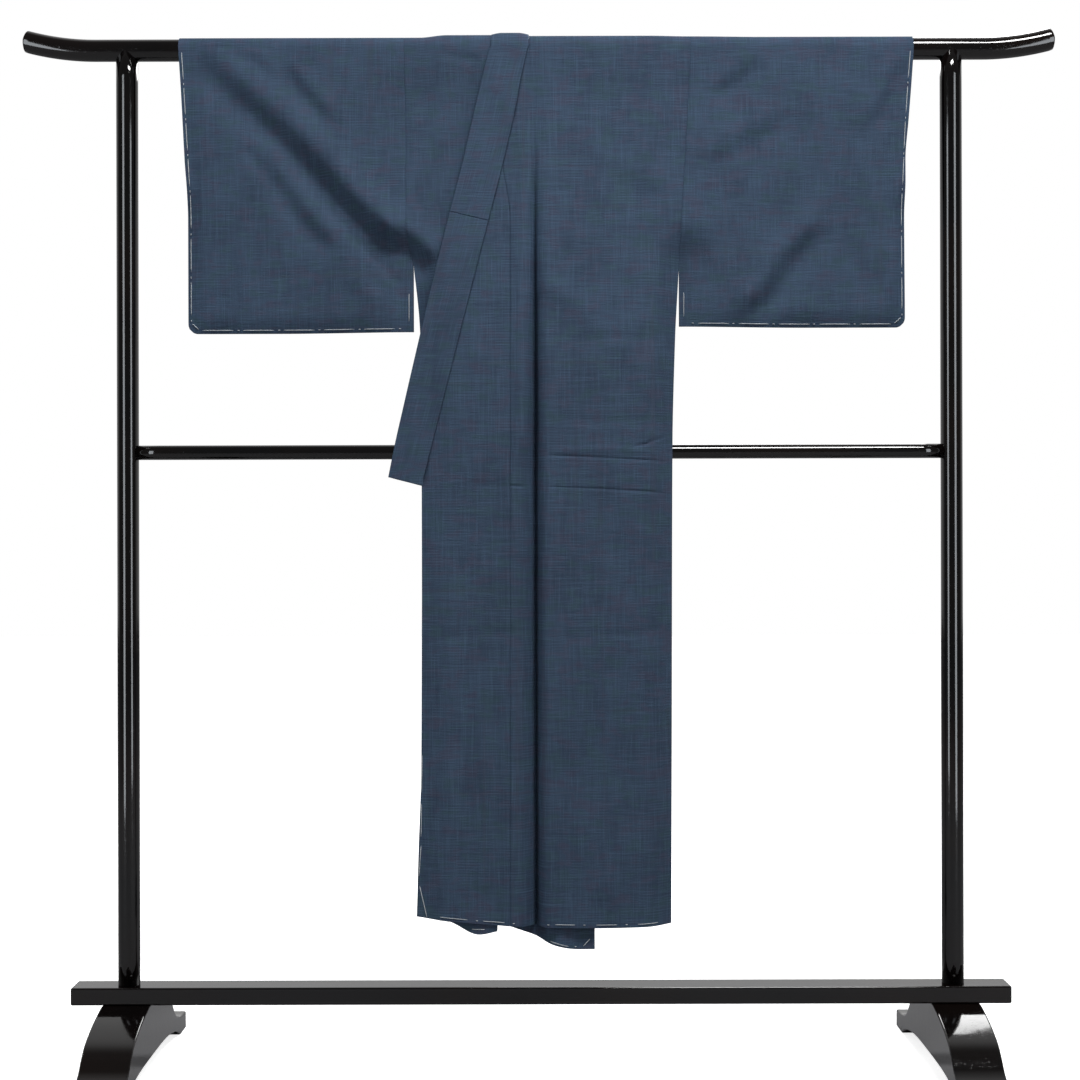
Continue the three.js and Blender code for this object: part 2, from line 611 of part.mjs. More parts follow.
// Stand
function toSolid(geometry) {
  const bare = geometry.clone();
  bare.deleteAttribute('normal');
  bare.deleteAttribute('uv');
  const merged = mergeVertices(bare.index ? bare.toNonIndexed() : bare);
  const mesh = new wasm.Mesh({
    numProp: 3,
    vertProperties: Float32Array.from(merged.attributes.position.array),
    triVerts: Uint32Array.from(merged.index.array),
  });
  return new wasm.Manifold(mesh);
}

function toGeometry(solid) {
  const mesh = solid.getMesh();
  const geometry = new THREE.BufferGeometry();
  geometry.setAttribute('position', new THREE.BufferAttribute(Float32Array.from(mesh.vertProperties), 3));
  geometry.setIndex(Array.from(mesh.triVerts));
  geometry.computeVertexNormals();
  return geometry;
}

// A round bar along X between two ends
function roundBar(radius, xStart, xEnd, z) {
  const bar = new THREE.CylinderGeometry(radius, radius, xEnd - xStart, ROUND_SIDES);
  bar.rotateZ(Math.PI / 2);
  bar.translate((xStart + xEnd) / 2, 0, z);
  return bar;
}

function roundPost(radius, x, bottom, top) {
  const post = new THREE.CylinderGeometry(radius, radius, top - bottom, ROUND_SIDES);
  post.rotateX(Math.PI / 2);
  post.translate(x, 0, (bottom + top) / 2);
  return post;
}

// The top rail is straight between its ends, which sweep gently up
function makeTopRail() {
  const bend = RAIL_HALF_LENGTH - RAIL_BEND_START;
  const rise = (x) => RAIL_TIP_RISE * clamp((Math.abs(x) - RAIL_BEND_START) / bend) ** 2;
  const tip = steps(RAIL_BEND_START, RAIL_HALF_LENGTH, 6);
  const stations = [...tip.map((x) => -x).reverse(), ...tip];
  const points = [];
  for (const x of stations) {
    const slope = (rise(Math.abs(x) + 0.5) - rise(Math.abs(x) - 0.5)) * Math.sign(x);
    const tilt = Math.abs(x) < RAIL_HALF_LENGTH ? Math.atan(slope) : 0;
    for (let i = 0; i < ROUND_SIDES; i += 1) {
      const angle = (i / ROUND_SIDES) * 2 * Math.PI;
      const up = RAIL_RADIUS * Math.sin(angle);
      const side = RAIL_RADIUS * Math.cos(angle);
      const z = RAIL_HEIGHT + rise(x) + up * Math.cos(tilt);
      points.push(new THREE.Vector3(x - up * Math.sin(tilt), side, z));
    }
  }
  const indices = [];
  const last = stations.length - 1;
  for (let s = 0; s < last; s += 1) {
    for (let i = 0; i < ROUND_SIDES; i += 1) {
      const next = (i + 1) % ROUND_SIDES;
      const [a, b] = [s * ROUND_SIDES + i, s * ROUND_SIDES + next];
      const [d, c] = [a + ROUND_SIDES, b + ROUND_SIDES];
      indices.push(a, b, c, a, c, d);
    }
  }
  for (let i = 1; i < ROUND_SIDES - 1; i += 1) {
    const end = last * ROUND_SIDES;
    indices.push(0, i + 1, i);
    indices.push(end, end + i, end + i + 1);
  }
  const rail = new THREE.BufferGeometry().setFromPoints(points);
  rail.setIndex(indices);
  rail.computeVertexNormals();
  return rail;
}

function makeMiddleRail() {
  const bar = toSolid(roundBar(MIDDLE_RAIL_RADIUS, -POST_X, POST_X, MIDDLE_RAIL_HEIGHT));
  const cut = (x) => toSolid(roundPost(POST_RADIUS + JOINT_GAP, x, BEAM_TOP, RAIL_HEIGHT));
  return toGeometry(bar.subtract(cut(-POST_X)).subtract(cut(POST_X)));
}

function makePost(x) {
  const post = toSolid(roundPost(POST_RADIUS, x, BEAM_TOP + JOINT_GAP, RAIL_HEIGHT));
  const reach = 2 * POST_RADIUS;
  const seat = toSolid(roundBar(RAIL_RADIUS + JOINT_GAP, x - reach, x + reach, RAIL_HEIGHT));
  return toGeometry(post.subtract(seat));
}

function makeBeam() {
  const outline = new THREE.Shape();
  const halfDepth = BEAM_DEPTH / 2 - BEAM_BEVEL;
  const halfHeight = (BEAM_TOP - BEAM_BOTTOM) / 2 - BEAM_BEVEL;
  outline.moveTo(-halfDepth, -halfHeight);
  outline.lineTo(halfDepth, -halfHeight);
  outline.lineTo(halfDepth, halfHeight);
  outline.lineTo(-halfDepth, halfHeight);
  const beam = new THREE.ExtrudeGeometry(outline, {
    depth: BEAM_LENGTH - 2 * BEAM_BEVEL,
    bevelSize: BEAM_BEVEL,
    bevelThickness: BEAM_BEVEL,
    bevelSegments: 2,
  });
  beam.translate(0, 0, BEAM_BEVEL - BEAM_LENGTH / 2);
  beam.rotateY(Math.PI / 2);
  beam.rotateX(Math.PI / 2);
  beam.translate(0, 0, (BEAM_TOP + BEAM_BOTTOM) / 2);
  return beam;
}

// A foot runs fore and aft under the beam: low toes, an arch between its pads and a back that
// stays full beside the beam, then falls steeply to the toes
function makeFoot(x) {
  const top = BEAM_BOTTOM - JOINT_GAP - FOOT_BEVEL;
  const low = FOOT_BEVEL;
  const reach = FOOT_REACH - FOOT_BEVEL;
  const toe = FOOT_TOE_HEIGHT - FOOT_BEVEL;
  const pad = reach - FOOT_PAD_LENGTH;
  const along = (line, way, shift) => line.map(([y, z]) => new THREE.Vector2(way * y, z + shift));
  const front = along(FOOT_BACK, -1, -FOOT_BEVEL);
  const back = along(FOOT_BACK, 1, -FOOT_BEVEL).reverse();
  const arch = [...along(FOOT_ARCH, -1, FOOT_BEVEL), ...along(FOOT_ARCH, 1, FOOT_BEVEL).reverse()];
  const side = new THREE.Shape();
  side.moveTo(-reach, low);
  side.lineTo(-pad, low);
  side.splineThru([...arch, new THREE.Vector2(pad, low)]);
  side.lineTo(reach, low);
  side.lineTo(reach, toe);
  side.splineThru([...back, new THREE.Vector2(FOOT_SEAT, top)]);
  side.lineTo(-FOOT_SEAT, top);
  side.splineThru([...front, new THREE.Vector2(-reach, toe)]);
  side.lineTo(-reach, low);
  const foot = new THREE.ExtrudeGeometry(side, {
    depth: FOOT_WIDTH - 2 * FOOT_BEVEL,
    bevelSize: FOOT_BEVEL,
    bevelThickness: FOOT_BEVEL,
    bevelSegments: 2,
    curveSegments: FOOT_CURVE_STEPS,
  });
  foot.translate(0, 0, FOOT_BEVEL - FOOT_WIDTH / 2);
  foot.rotateY(Math.PI / 2);
  foot.rotateX(Math.PI / 2);
  foot.translate(x, 0, 0);
  return foot;
}

// Materials
const tsumugi = new THREE.MeshStandardMaterial({ color: 0x38495d, roughness: 0.9, metalness: 0 });
const lacquer = new THREE.MeshStandardMaterial({ color: 0x0b0908, roughness: 0.22, metalness: 0 });

// Assembly
const group = new THREE.Group();
const stand = new THREE.Group();
const kimono = new THREE.Group();
group.add(stand, kimono);

function addPiece(parent, name, geometry, material) {
  const piece = new THREE.Mesh(geometry, material.clone());
  piece.name = name;
  parent.add(piece);
}

addPiece(stand, 'top_rail', makeTopRail(), lacquer);
addPiece(stand, 'middle_rail', makeMiddleRail(), lacquer);
addPiece(stand, 'post_left', makePost(-POST_X), lacquer);
addPiece(stand, 'post_right', makePost(POST_X), lacquer);
addPiece(stand, 'base_beam', makeBeam(), lacquer);
addPiece(stand, 'foot_left', makeFoot(-POST_X), lacquer);
addPiece(stand, 'foot_right', makeFoot(POST_X), lacquer);

addPiece(kimono, 'body_left', makeBodyLeft(), tsumugi);
addPiece(kimono, 'body_right', makeBodyRight(), tsumugi);
addPiece(kimono, 'okumi_left', makeOkumiLeft(), tsumugi);
addPiece(kimono, 'okumi_right', makeOkumiRight(), tsumugi);
addPiece(kimono, 'sleeve_left', makeSleeve('left'), tsumugi);
addPiece(kimono, 'sleeve_right', makeSleeve('right'), tsumugi);
addPiece(kimono, 'collar_left', makeCollarLeft(), tsumugi);
addPiece(kimono, 'collar_right', makeCollarRight(), tsumugi);
addPiece(kimono, 'over_collar', makeOverCollar(), tsumugi);

export default group;
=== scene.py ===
import math

import bpy
import numpy as np
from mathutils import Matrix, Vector


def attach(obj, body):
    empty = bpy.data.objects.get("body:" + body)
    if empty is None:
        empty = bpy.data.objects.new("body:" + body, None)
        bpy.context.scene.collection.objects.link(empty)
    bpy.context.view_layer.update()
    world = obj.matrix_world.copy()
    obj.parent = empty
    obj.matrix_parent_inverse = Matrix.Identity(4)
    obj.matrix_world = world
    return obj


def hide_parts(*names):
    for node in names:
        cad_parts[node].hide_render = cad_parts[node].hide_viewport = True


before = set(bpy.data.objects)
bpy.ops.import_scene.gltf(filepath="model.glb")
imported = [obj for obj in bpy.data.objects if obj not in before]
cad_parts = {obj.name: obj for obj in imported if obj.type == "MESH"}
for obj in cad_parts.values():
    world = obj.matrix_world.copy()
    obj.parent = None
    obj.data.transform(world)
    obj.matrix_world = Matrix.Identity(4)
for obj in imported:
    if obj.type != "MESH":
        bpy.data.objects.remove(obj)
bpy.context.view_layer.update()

# A man's tsumugi kimono hung over the top rail of a black lacquered stand.
# Metres, +Z up. The viewer stands on the -Y side, and +X is the viewer's right.
# Left and right in the garment's names are the wearer's, who faces the viewer.

# Camera: level with the garment's middle, straight in front
CAMERA_DISTANCE = 3.1
CAMERA_HEIGHT = 0.8825
CAMERA_LENS = 62.2
CAMERA_SENSOR = 36.0
CAMERA_ROLL = 0.0025

# Stand
RAIL_RADIUS = 0.018
RAIL_HEIGHT = 1.697
RAIL_HALF_LENGTH = 0.853
RAIL_BEND_START = 0.735
RAIL_TIP_RISE = 0.016
POST_RADIUS = 0.018
POST_X = 0.684
MIDDLE_RAIL_RADIUS = 0.012
MIDDLE_RAIL_HEIGHT = 1.029
BEAM_LENGTH = 1.551
BEAM_DEPTH = 0.055
BEAM_BOTTOM = 0.117
BEAM_TOP = 0.146
FOOT_WIDTH = 0.080
FOOT_REACH = 0.286
FOOT_SEAT = 0.0315
FOOT_TOE_HEIGHT = 0.030
FOOT_PAD_LENGTH = 0.050
FOOT_BACK = ((0.070, 0.109), (0.110, 0.098), (0.146, 0.084), (0.168, 0.068), (0.188, 0.050),
             (0.212, 0.038), (0.245, 0.032))
FOOT_ARCH = ((0.204, 0.013), (0.171, 0.020), (0.124, 0.026), (0.060, 0.0285))
JOINT_GAP = 0.0003
EDGE_BEVEL = 0.003

# Cloth: the solids' walls are thicker than the shells shown
WALL = 0.0014
COLLAR_WALL = 0.003
CLOTH = 0.0008
COLLAR_CLOTH = 0.0024
SEAM_GAP = 0.0003
ON_RAIL = RAIL_RADIUS + 0.0007 + WALL / 2
LAYER_STEP = 0.002
SIDE_EDGE = WALL / 2 + 0.0002
SIDE_TAPER = 0.048
ARMHOLE_BOTTOM = 1.331
ARMHOLE_EASE = 0.080
CUFF_BOTTOM = 1.447
SWING = 0.033
RIGHT_FRONT_RECESS = 0.007
PLEAT_FOLD_X = -0.071
PLEAT_INNER_X = -0.132
CENTRE_BACK_X = -0.056
VALLEY_X = -0.008
VALLEY_WIDTH = 0.0085
VALLEY_DEPTH = 0.018
VALLEY_WIDTH_UNDER = 0.016
VALLEY_DEPTH_UNDER = 0.019
COLLAR_END = 0.978
OVER_COLLAR_END = 1.414
COLLAR_TILT = 0.015
COLLAR_OUT = LAYER_STEP + 0.0007
LOOP_BOTTOM = 1.645
KENSAKI = 1.500
OFF_RAIL = 1.690
EASED_FROM = 1.650
NECK_LINE = 1.640
FOLDS_FROM = 1.600
COLLAR_WIDTH = 0.064
COLLAR_STEP = COLLAR_WIDTH / 20
LEVEL_FROM_X = -0.175
BACK_HEM = 0.266
PLEAT_HIDDEN_HEM = 0.258
SLEEVE_BOTTOM = {"left": 1.234, "right": 1.226}
SLEEVE_CORNER = 0.016
SLEEVE_DEPTH = 0.010
SEWN_DEPTH = SIDE_EDGE + 0.001
OUTWARD = {"left": 1, "right": -1}

# Mesh spacing
FINE = 0.0054
COARSE = 0.0100
CREASE_STEP = 0.0013
CREASED = ((1.062, 1.004), (0.974, 0.954))
NECK_ROWS = tuple(NECK_LINE - down for down in (0, 0.002, 0.004, 0.006))
VALLEY_ZONE = 0.024
VALLEY_COLUMNS = 38
ARC_STEPS = 26
THINNEST_SHARE = 0.15
EDGE_STEPS = (0.0, 0.00012, 0.0004, 0.0011, 0.0022)

# Outlines of the garment, from the top down: each row is z and the x of each named line
COLLARS = {"left": {
    "z": (1.7, 1.682, 1.642, 1.597, 1.521, 1.42, 1.34, 1.236, 1.12, 1.046, 0.982),
    "free": (-0.079, -0.0845, -0.0945, -0.105, -0.122, -0.147, -0.167, -0.191, -0.218, -0.235, -0.248),
    "seam": (-0.0165, -0.021, -0.03, -0.038, -0.055, -0.08, -0.1, -0.126, -0.155, -0.174, -0.19),
}, "right": {
    "z": (1.697, 1.655, 1.597, 1.521, 1.42, 1.34, 1.236, 1.12, 1.046, 0.982),
    "seam": (-0.0695, -0.067, -0.054, -0.037, -0.012, 0.008, 0.035, 0.064, 0.083, 0.098),
    "free": (-0.0165, -0.013, 0.01, 0.029, 0.056, 0.076, 0.101, 0.128, 0.145, 0.157),
}}
SIDE_SEAMS = {
    "z": (1.72, 1.556, 1.399, 1.331, 1.212, 1.036, 0.41, 0.25),
    "right": (-0.223, -0.221, -0.219, -0.207, -0.196, -0.194, -0.194, -0.195),
    "left": (0.252, 0.243, 0.233, 0.23, 0.223, 0.218, 0.215, 0.214),
}
OKUMI_SEAMS = {
    "z": (1.5, 1.411, 0.25),
    "left": (-0.0602, -0.048, -0.05),
    "right": (-0.0318, -0.03, -0.059),
}
FRONT_EDGES = {
    "z": (0.972, 0.851, 0.511, 0.365, 0.262),
    "left": (-0.193, -0.193, -0.195, -0.2, -0.203),
    "right": (0.097, 0.096, 0.092, 0.09, 0.088),
}
SLEEVE_EDGES = {
    "z": (1.717, 1.673, 1.577, 1.509, 1.459, 1.247),
    "left": (0.62, 0.618, 0.611, 0.606, 0.606, 0.607),
    "right": (-0.597, -0.594, -0.589, -0.586, -0.583, -0.583),
}

# Lower edges of the fronts, from the viewer's left to the viewer's right: x, then z
LEFT_HEM = ((-0.203, -0.15, -0.062, 0.087, 0.214), (0.268, 0.261, 0.255, 0.2495, 0.253))
RIGHT_HEM = ((-0.195, -0.152, -0.102, -0.07), (0.266, 0.26, 0.239, 0.245))
RIGHT_OKUMI_HEM = ((-0.06, -0.012, 0.022, 0.065, 0.088), (0.256, 0.234, 0.22, 0.213, 0.213))

# Folds and creases: kind, depth at the start, depth at the end, half the width, and the points (x, z)
# of a curve. A drape stands out above its line and falls back below it, a trough goes in, a ridge out.
SLEEVE_RIGHT_FOLDS = (
    ("drape", 0.005, 0.019, 0.031, (-0.573, 1.695), (-0.402, 1.54), (-0.299, 1.426),
     (-0.222, 1.369), (-0.16, 1.326)),
    ("drape", 0.003, 0.006, 0.022, (-0.478, 1.552), (-0.422, 1.471), (-0.37, 1.401), (-0.325, 1.362)),
    ("trough", 0.002, 0.0026, 0.009, (-0.483, 1.541), (-0.474, 1.512), (-0.461, 1.488)),
    ("drape", 0.0026, 0.001, 0.015, (-0.5, 1.694), (-0.456, 1.671), (-0.43, 1.64)),
    ("drape", 0.002, 0.004, 0.018, (-0.43, 1.687), (-0.378, 1.619), (-0.327, 1.562)),
    ("trough", 0.0022, 0.0014, 0.008, (-0.571, 1.52), (-0.568, 1.45), (-0.573, 1.34)),
    ("trough", 0.0006, 0.0018, 0.011, (-0.52, 1.33), (-0.44, 1.318), (-0.35, 1.333)),
    ("ridge", 0.0016, 0.0034, 0.014, (-0.33, 1.33), (-0.29, 1.3), (-0.262, 1.262)),
)
SLEEVE_LEFT_FOLDS = (
    ("drape", 0.006, 0.009, 0.026, (0.481, 1.42), (0.414, 1.35), (0.377, 1.295), (0.327, 1.247)),
    ("drape", 0.0026, 0.0034, 0.019, (0.367, 1.691), (0.334, 1.655), (0.312, 1.637), (0.272, 1.619)),
    ("drape", 0.0034, 0.003, 0.025, (0.41, 1.602), (0.384, 1.571), (0.337, 1.543), (0.262, 1.5)),
    ("drape", 0.002, 0.0034, 0.019, (0.611, 1.697), (0.568, 1.61), (0.54, 1.556)),
    ("trough", 0.0018, 0.0026, 0.009, (0.583, 1.419), (0.571, 1.33), (0.567, 1.248)),
    ("trough", 0.0008, 0.0014, 0.012, (0.52, 1.48), (0.488, 1.43), (0.44, 1.392)),
    ("ridge", 0.0016, 0.0008, 0.016, (0.285, 1.44), (0.33, 1.402), (0.392, 1.392)),
)
BODY_RIGHT_FOLDS = (
    ("trough", 0.0014, 0.003, 0.0065, (-0.17, 1.686), (-0.13, 1.678), (-0.084, 1.674)),
    ("trough", 0.003, 0.008, 0.016, (-0.102, 1.69), (-0.119, 1.597), (-0.136, 1.521),
     (-0.161, 1.42), (-0.179, 1.345)),
    ("trough", 0.0008, 0.0012, 0.012, (-0.19, 1.56), (-0.165, 1.49), (-0.16, 1.42)),
)
LEFT_FRONT_CREASES = (
    ("trough", 0.0014, 0.0018, 0.0022, (0.006, 1.021), (0.11, 1.016), (0.216, 1.009)),
    ("ridge", 0.0012, 0.0014, 0.006, (0.008, 1.026), (0.11, 1.03), (0.214, 1.024)),
    ("trough", 0.0014, 0.002, 0.003, (0.14, 1.029), (0.176, 1.04), (0.218, 1.057)),
    ("trough", 0.0013, 0.0018, 0.0022, (0.008, 0.969), (0.112, 0.965), (0.216, 0.958)),
    ("trough", 0.0014, 0.0016, 0.0022, (-0.158, 0.968), (-0.1, 0.973), (-0.016, 0.969)),
    ("trough", 0.001, 0.0012, 0.0024, (-0.13, 1.026), (-0.085, 1.028), (-0.046, 1.024)),
    ("trough", 0.001, 0.0018, 0.008, (0.012, 1.208), (0.12, 1.212), (0.218, 1.211)),
    ("trough", 0.0014, 0.001, 0.008, (0.01, 1.08), (0.11, 1.076), (0.218, 1.078)),
    ("trough", 0.0018, 0.0014, 0.009, (-0.19, 0.724), (-0.06, 0.73), (-0.014, 0.727)),
    ("trough", 0.0012, 0.0018, 0.009, (0.004, 0.722), (0.11, 0.729), (0.214, 0.733)),
    ("drape", 0.0022, 0.0006, 0.024, (-0.012, 1.3), (0.07, 1.24), (0.16, 1.14)),
    ("drape", 0.0006, 0.002, 0.026, (0.04, 1.56), (0.11, 1.5), (0.226, 1.44)),
    ("ridge", 0.0014, 0.0008, 0.022, (0.168, 0.93), (0.176, 0.7), (0.17, 0.42)),
    ("trough", 0.0008, 0.0018, 0.02, (0.092, 0.9), (0.086, 0.6), (0.094, 0.3)),
    ("trough", 0.0006, 0.0014, 0.018, (-0.128, 0.86), (-0.122, 0.56), (-0.132, 0.31)),
    ("ridge", 0.0008, 0.0012, 0.018, (-0.088, 0.9), (-0.084, 0.56), (-0.09, 0.3)),
)
BACK_FOLDS = (
    ("drape", 0.003, 0.006, 0.032, (-0.56, 1.66), (-0.396, 1.524), (-0.23, 1.38)),
    ("drape", 0.003, 0.006, 0.032, (0.575, 1.64), (0.42, 1.52), (0.262, 1.395)),
    ("drape", 0.004, 0.004, 0.026, (-0.33, 1.4), (-0.41, 1.326), (-0.48, 1.26)),
    ("drape", 0.002, 0.003, 0.022, (0.5, 1.42), (0.432, 1.35), (0.38, 1.28)),
    ("trough", 0.0012, 0.001, 0.011, (-0.56, 1.5), (-0.556, 1.4), (-0.562, 1.29)),
    ("trough", 0.001, 0.0014, 0.011, (0.575, 1.47), (0.57, 1.38), (0.566, 1.28)),
)
BACK_CREASES = (
    ("trough", 0.002, 0.0024, 0.0042, (-0.186, 1.012), (-0.06, 1.018), (0.206, 1.014)),
    ("trough", 0.0016, 0.0014, 0.0044, (-0.188, 0.962), (-0.05, 0.968), (0.21, 0.96)),
    ("trough", 0.0016, 0.002, 0.008, (-0.188, 0.724), (0.0, 0.731), (0.208, 0.726)),
    ("drape", 0.001, 0.005, 0.024, (-0.04, 1.58), (0.08, 1.5), (0.206, 1.43)),
    ("drape", 0.001, 0.0044, 0.022, (-0.07, 1.56), (-0.13, 1.49), (-0.196, 1.42)),
    ("drape", 0.0012, 0.003, 0.02, (0.18, 1.33), (0.11, 1.24), (0.05, 1.12)),
    ("trough", 0.0012, 0.0034, 0.015, (0.11, 0.9), (0.104, 0.6), (0.112, 0.3)),
    ("ridge", 0.0016, 0.0026, 0.015, (-0.126, 0.9), (-0.12, 0.62), (-0.128, 0.31)),
)


def clamp(t):
    return np.clip(t, 0.0, 1.0)


def smooth(t):
    held = clamp(t)
    return held * held * (3 - 2 * held)


def below(top, drop, z):
    """Grows from 0 at the height top to 1 at drop under it"""
    return smooth((top - z) / drop)


def mix(a, b, t):
    return a + (b - a) * t


def rounded(t):
    return np.sin(clamp(t) * math.pi / 2)


def at_height(table, z, column):
    """x of a named line at height z, on a smooth curve through the table's rows"""
    return curve_at(np.array(table["z"][::-1]), np.array(table[column][::-1]), z)


def hem_at(hem, x):
    return curve_at(np.array(hem[0]), np.array(hem[1]), x)


def curve_at(places, values, at):
    """A cubic curve through the points, with no overshoot, level beyond its ends"""
    gaps = np.diff(places)
    slopes = np.diff(values) / gaps
    before, after = slopes[:-1], slopes[1:]
    same_way = before * after > 0
    inner = np.where(same_way, 2 * before * after / np.where(same_way, before + after, 1), 0)
    tangents = np.concatenate([slopes[:1], inner, slopes[-1:]])
    held = np.clip(at, places[0], places[-1])
    i = np.clip(np.searchsorted(places, held, side="right") - 1, 0, len(gaps) - 1)
    t = (held - places[i]) / gaps[i]
    return ((2 * t ** 3 - 3 * t ** 2 + 1) * values[i] + (t ** 3 - 2 * t ** 2 + t) * gaps[i] * tangents[i]
            + (3 * t ** 2 - 2 * t ** 3) * values[i + 1] + (t ** 3 - t ** 2) * gaps[i] * tangents[i + 1])


def smooth_path(points, steps=8):
    """Catmull-Rom curve through points of any dimension"""
    known = np.array(points, float)
    padded = np.vstack([2 * known[0] - known[1], known, 2 * known[-1] - known[-2]])
    path = []
    for i in range(len(known) - 1):
        a, b, c, d = padded[i:i + 4]
        for t in np.arange(steps) / steps:
            path.append(0.5 * (2 * b + (c - a) * t + (2 * a - 5 * b + 4 * c - d) * t ** 2
                               + (3 * b - a - 3 * c + d) * t ** 3))
    path.append(known[-1])
    return np.array(path)


def along_path(path, x, z):
    """Signed distance above the path, and the length along it, of each point"""
    nearest = np.full(np.shape(x), np.inf)
    above = np.zeros(np.shape(x))
    along = np.zeros(np.shape(x))
    done = 0.0
    for (ax, az), (bx, bz) in zip(path[:-1], path[1:]):
        dx, dz = bx - ax, bz - az
        length = math.hypot(dx, dz)
        t = clamp(((x - ax) * dx + (z - az) * dz) / length ** 2)
        distance = np.hypot(x - ax - t * dx, z - az - t * dz)
        side = np.sign((z - az) * dx - (x - ax) * dz) * (1 if dx >= 0 else -1)
        closer = distance < nearest
        nearest = np.where(closer, distance, nearest)
        above = np.where(closer, distance * side, above)
        along = np.where(closer, done + t * length, along)
        done += length
    return above, along, done


def relief(folds, x, z):
    """How far the folds push the cloth out (+) or in (-)"""
    drape_peak = 2.33
    total = np.zeros(np.shape(x))
    for kind, start, end, reach, *points in folds:
        above, along, length = along_path(smooth_path(points), x, z)
        fade = min(0.045, length * 0.35, reach * 9)
        ends = smooth(along / fade) * smooth((length - along) / fade)
        s = above / reach
        form = {"drape": drape_peak * s, "trough": -1, "ridge": 1}[kind]
        total += mix(start, end, along / length) * ends * form * np.exp(-s * s)
    return total


def unevenness(x, z, phase):
    """Slight soft waves that no pressing takes out of hung cloth"""
    waves = ((0.00045, 31.0, 9.0, 0.3), (0.00035, -17.0, 23.0, 1.1), (0.00030, 47.0, -14.0, 2.3),
             (0.00020, 71.0, 38.0, 0.9), (0.00016, -58.0, 67.0, 4.0), (0.00012, 96.0, 21.0, 5.1))
    total = np.zeros(np.shape(x))
    for size, per_x, per_z, start in waves:
        total += size * np.sin(per_x * x + per_z * z + start + phase)
    return total


# How far in front of or behind the middle plane each layer hangs


def body_middle(z):
    """The body hangs in front of the middle rail, so it swings forward below the top rail"""
    return -SWING * below(NECK_LINE, 0.540, z)


def side_closed(z):
    """The side seams are sewn shut below the armhole"""
    return smooth((ARMHOLE_BOTTOM + ARMHOLE_EASE - z) / ARMHOLE_EASE)


def close_at_side(depth, x, z, side):
    edge = at_height(SIDE_SEAMS, z, side)
    shut = mix(SIDE_EDGE, depth, rounded(np.abs(x - edge) / SIDE_TAPER))
    return mix(depth, shut, side_closed(z))


def front_ease(z):
    return 0.003 * below(EASED_FROM, 0.300, z)


def below_rail(z):
    """Fades the small waves out where the cloth is pulled smooth over the rail"""
    return below(OFF_RAIL, 0.060, z)


def valley(x, z, depth, width):
    """The deep vertical fold beside the collar, softer on its left flank below the collar's end"""
    lobe_size, lobe_at, lobe_width = 0.3, 2.6, 1.2
    softer = mix(1.0, 1.7, below(1.110, 0.160, z))
    away = x - VALLEY_X
    s = away / (width * np.where(away < 0, softer, 1.0))
    lobes = lobe_size * np.exp(-((np.abs(s) - lobe_at) / lobe_width) ** 2)
    return depth * below(OFF_RAIL, 0.700, z) * (lobes - np.exp(-s * s))


def side_drop(x, layer):
    """The pleat's layers come together at the side seam"""
    joined, apart = -0.198, -0.153
    return LAYER_STEP * layer * (1 - smooth((x - joined) / (apart - joined)))


def neck_ease(z):
    return 0.002 * below(NECK_LINE, 0.100, z)


def right_front_depth(x, z, layer):
    recess = RIGHT_FRONT_RECESS * below(OFF_RAIL, 0.100, z)
    flat = ON_RAIL + front_ease(z) - recess + LAYER_STEP * layer - side_drop(x, layer)
    sleeve_folds_end, fading = -0.145, 0.030
    draped = relief(SLEEVE_RIGHT_FOLDS, x, z) * smooth((sleeve_folds_end - x) / fading)
    small = relief(BODY_RIGHT_FOLDS, x, z) + unevenness(x, z, 1.0) * below_rail(z)
    return flat + draped + small + valley(x, z, VALLEY_DEPTH_UNDER, VALLEY_WIDTH_UNDER)


def left_front_depth(x, z):
    outer_drop, free_drop, sharp_depth, sharp_width = 0.002, 0.010, 0.014, 0.0034
    outer_edge = outer_drop * smooth((x - 0.180) / 0.070)
    free_edge = free_drop * (1 - smooth((x + 0.206) / 0.060)) * side_closed(z)
    flat = ON_RAIL + 2 * LAYER_STEP + front_ease(z) - outer_edge + neck_ease(z)
    sharp = sharp_depth * below(FOLDS_FROM, 0.360, z) * np.exp(-((x - VALLEY_X) / sharp_width) ** 2)
    small = relief(LEFT_FRONT_CREASES, x, z) + 1.6 * unevenness(x, z, 0.0) * below_rail(z)
    return flat - free_edge - sharp + small + valley(x, z, VALLEY_DEPTH, VALLEY_WIDTH)


def back_depth(x, z, layer):
    wave_size, wave_pitch, wave_lean = 0.0025, 0.023, 0.9
    wave = wave_size * np.sin(x / wave_pitch + z / wave_lean)
    wave = wave * below(FOLDS_FROM, 0.250, z) * below(0.900, 0.200, z)
    small = relief(BACK_CREASES, x, z) + 1.4 * unevenness(x, z, 2.0) * below_rail(z)
    return ON_RAIL - 0.007 * below(EASED_FROM, 0.400, z) + LAYER_STEP * layer + wave + small


def seam_dip(*distances):
    """Panel edges roll in a little where they are sewn together"""
    dip, reach = 0.0009, 0.0018
    return sum(dip * np.exp(-(distance / reach) ** 2) for distance in distances)


# Meshes


def edge_spaced(length, spacing, both=True):
    """Shares of a length from 0 to 1: close together at its edges, even between"""
    near = np.array(EDGE_STEPS)
    last = length - near[-1] if both else length
    middle = np.linspace(near[-1], last, max(3, round((last - near[-1]) / spacing) + 1))
    far = length - near[-2::-1] if both else []
    return np.concatenate([near[:-1], middle, far]) / length


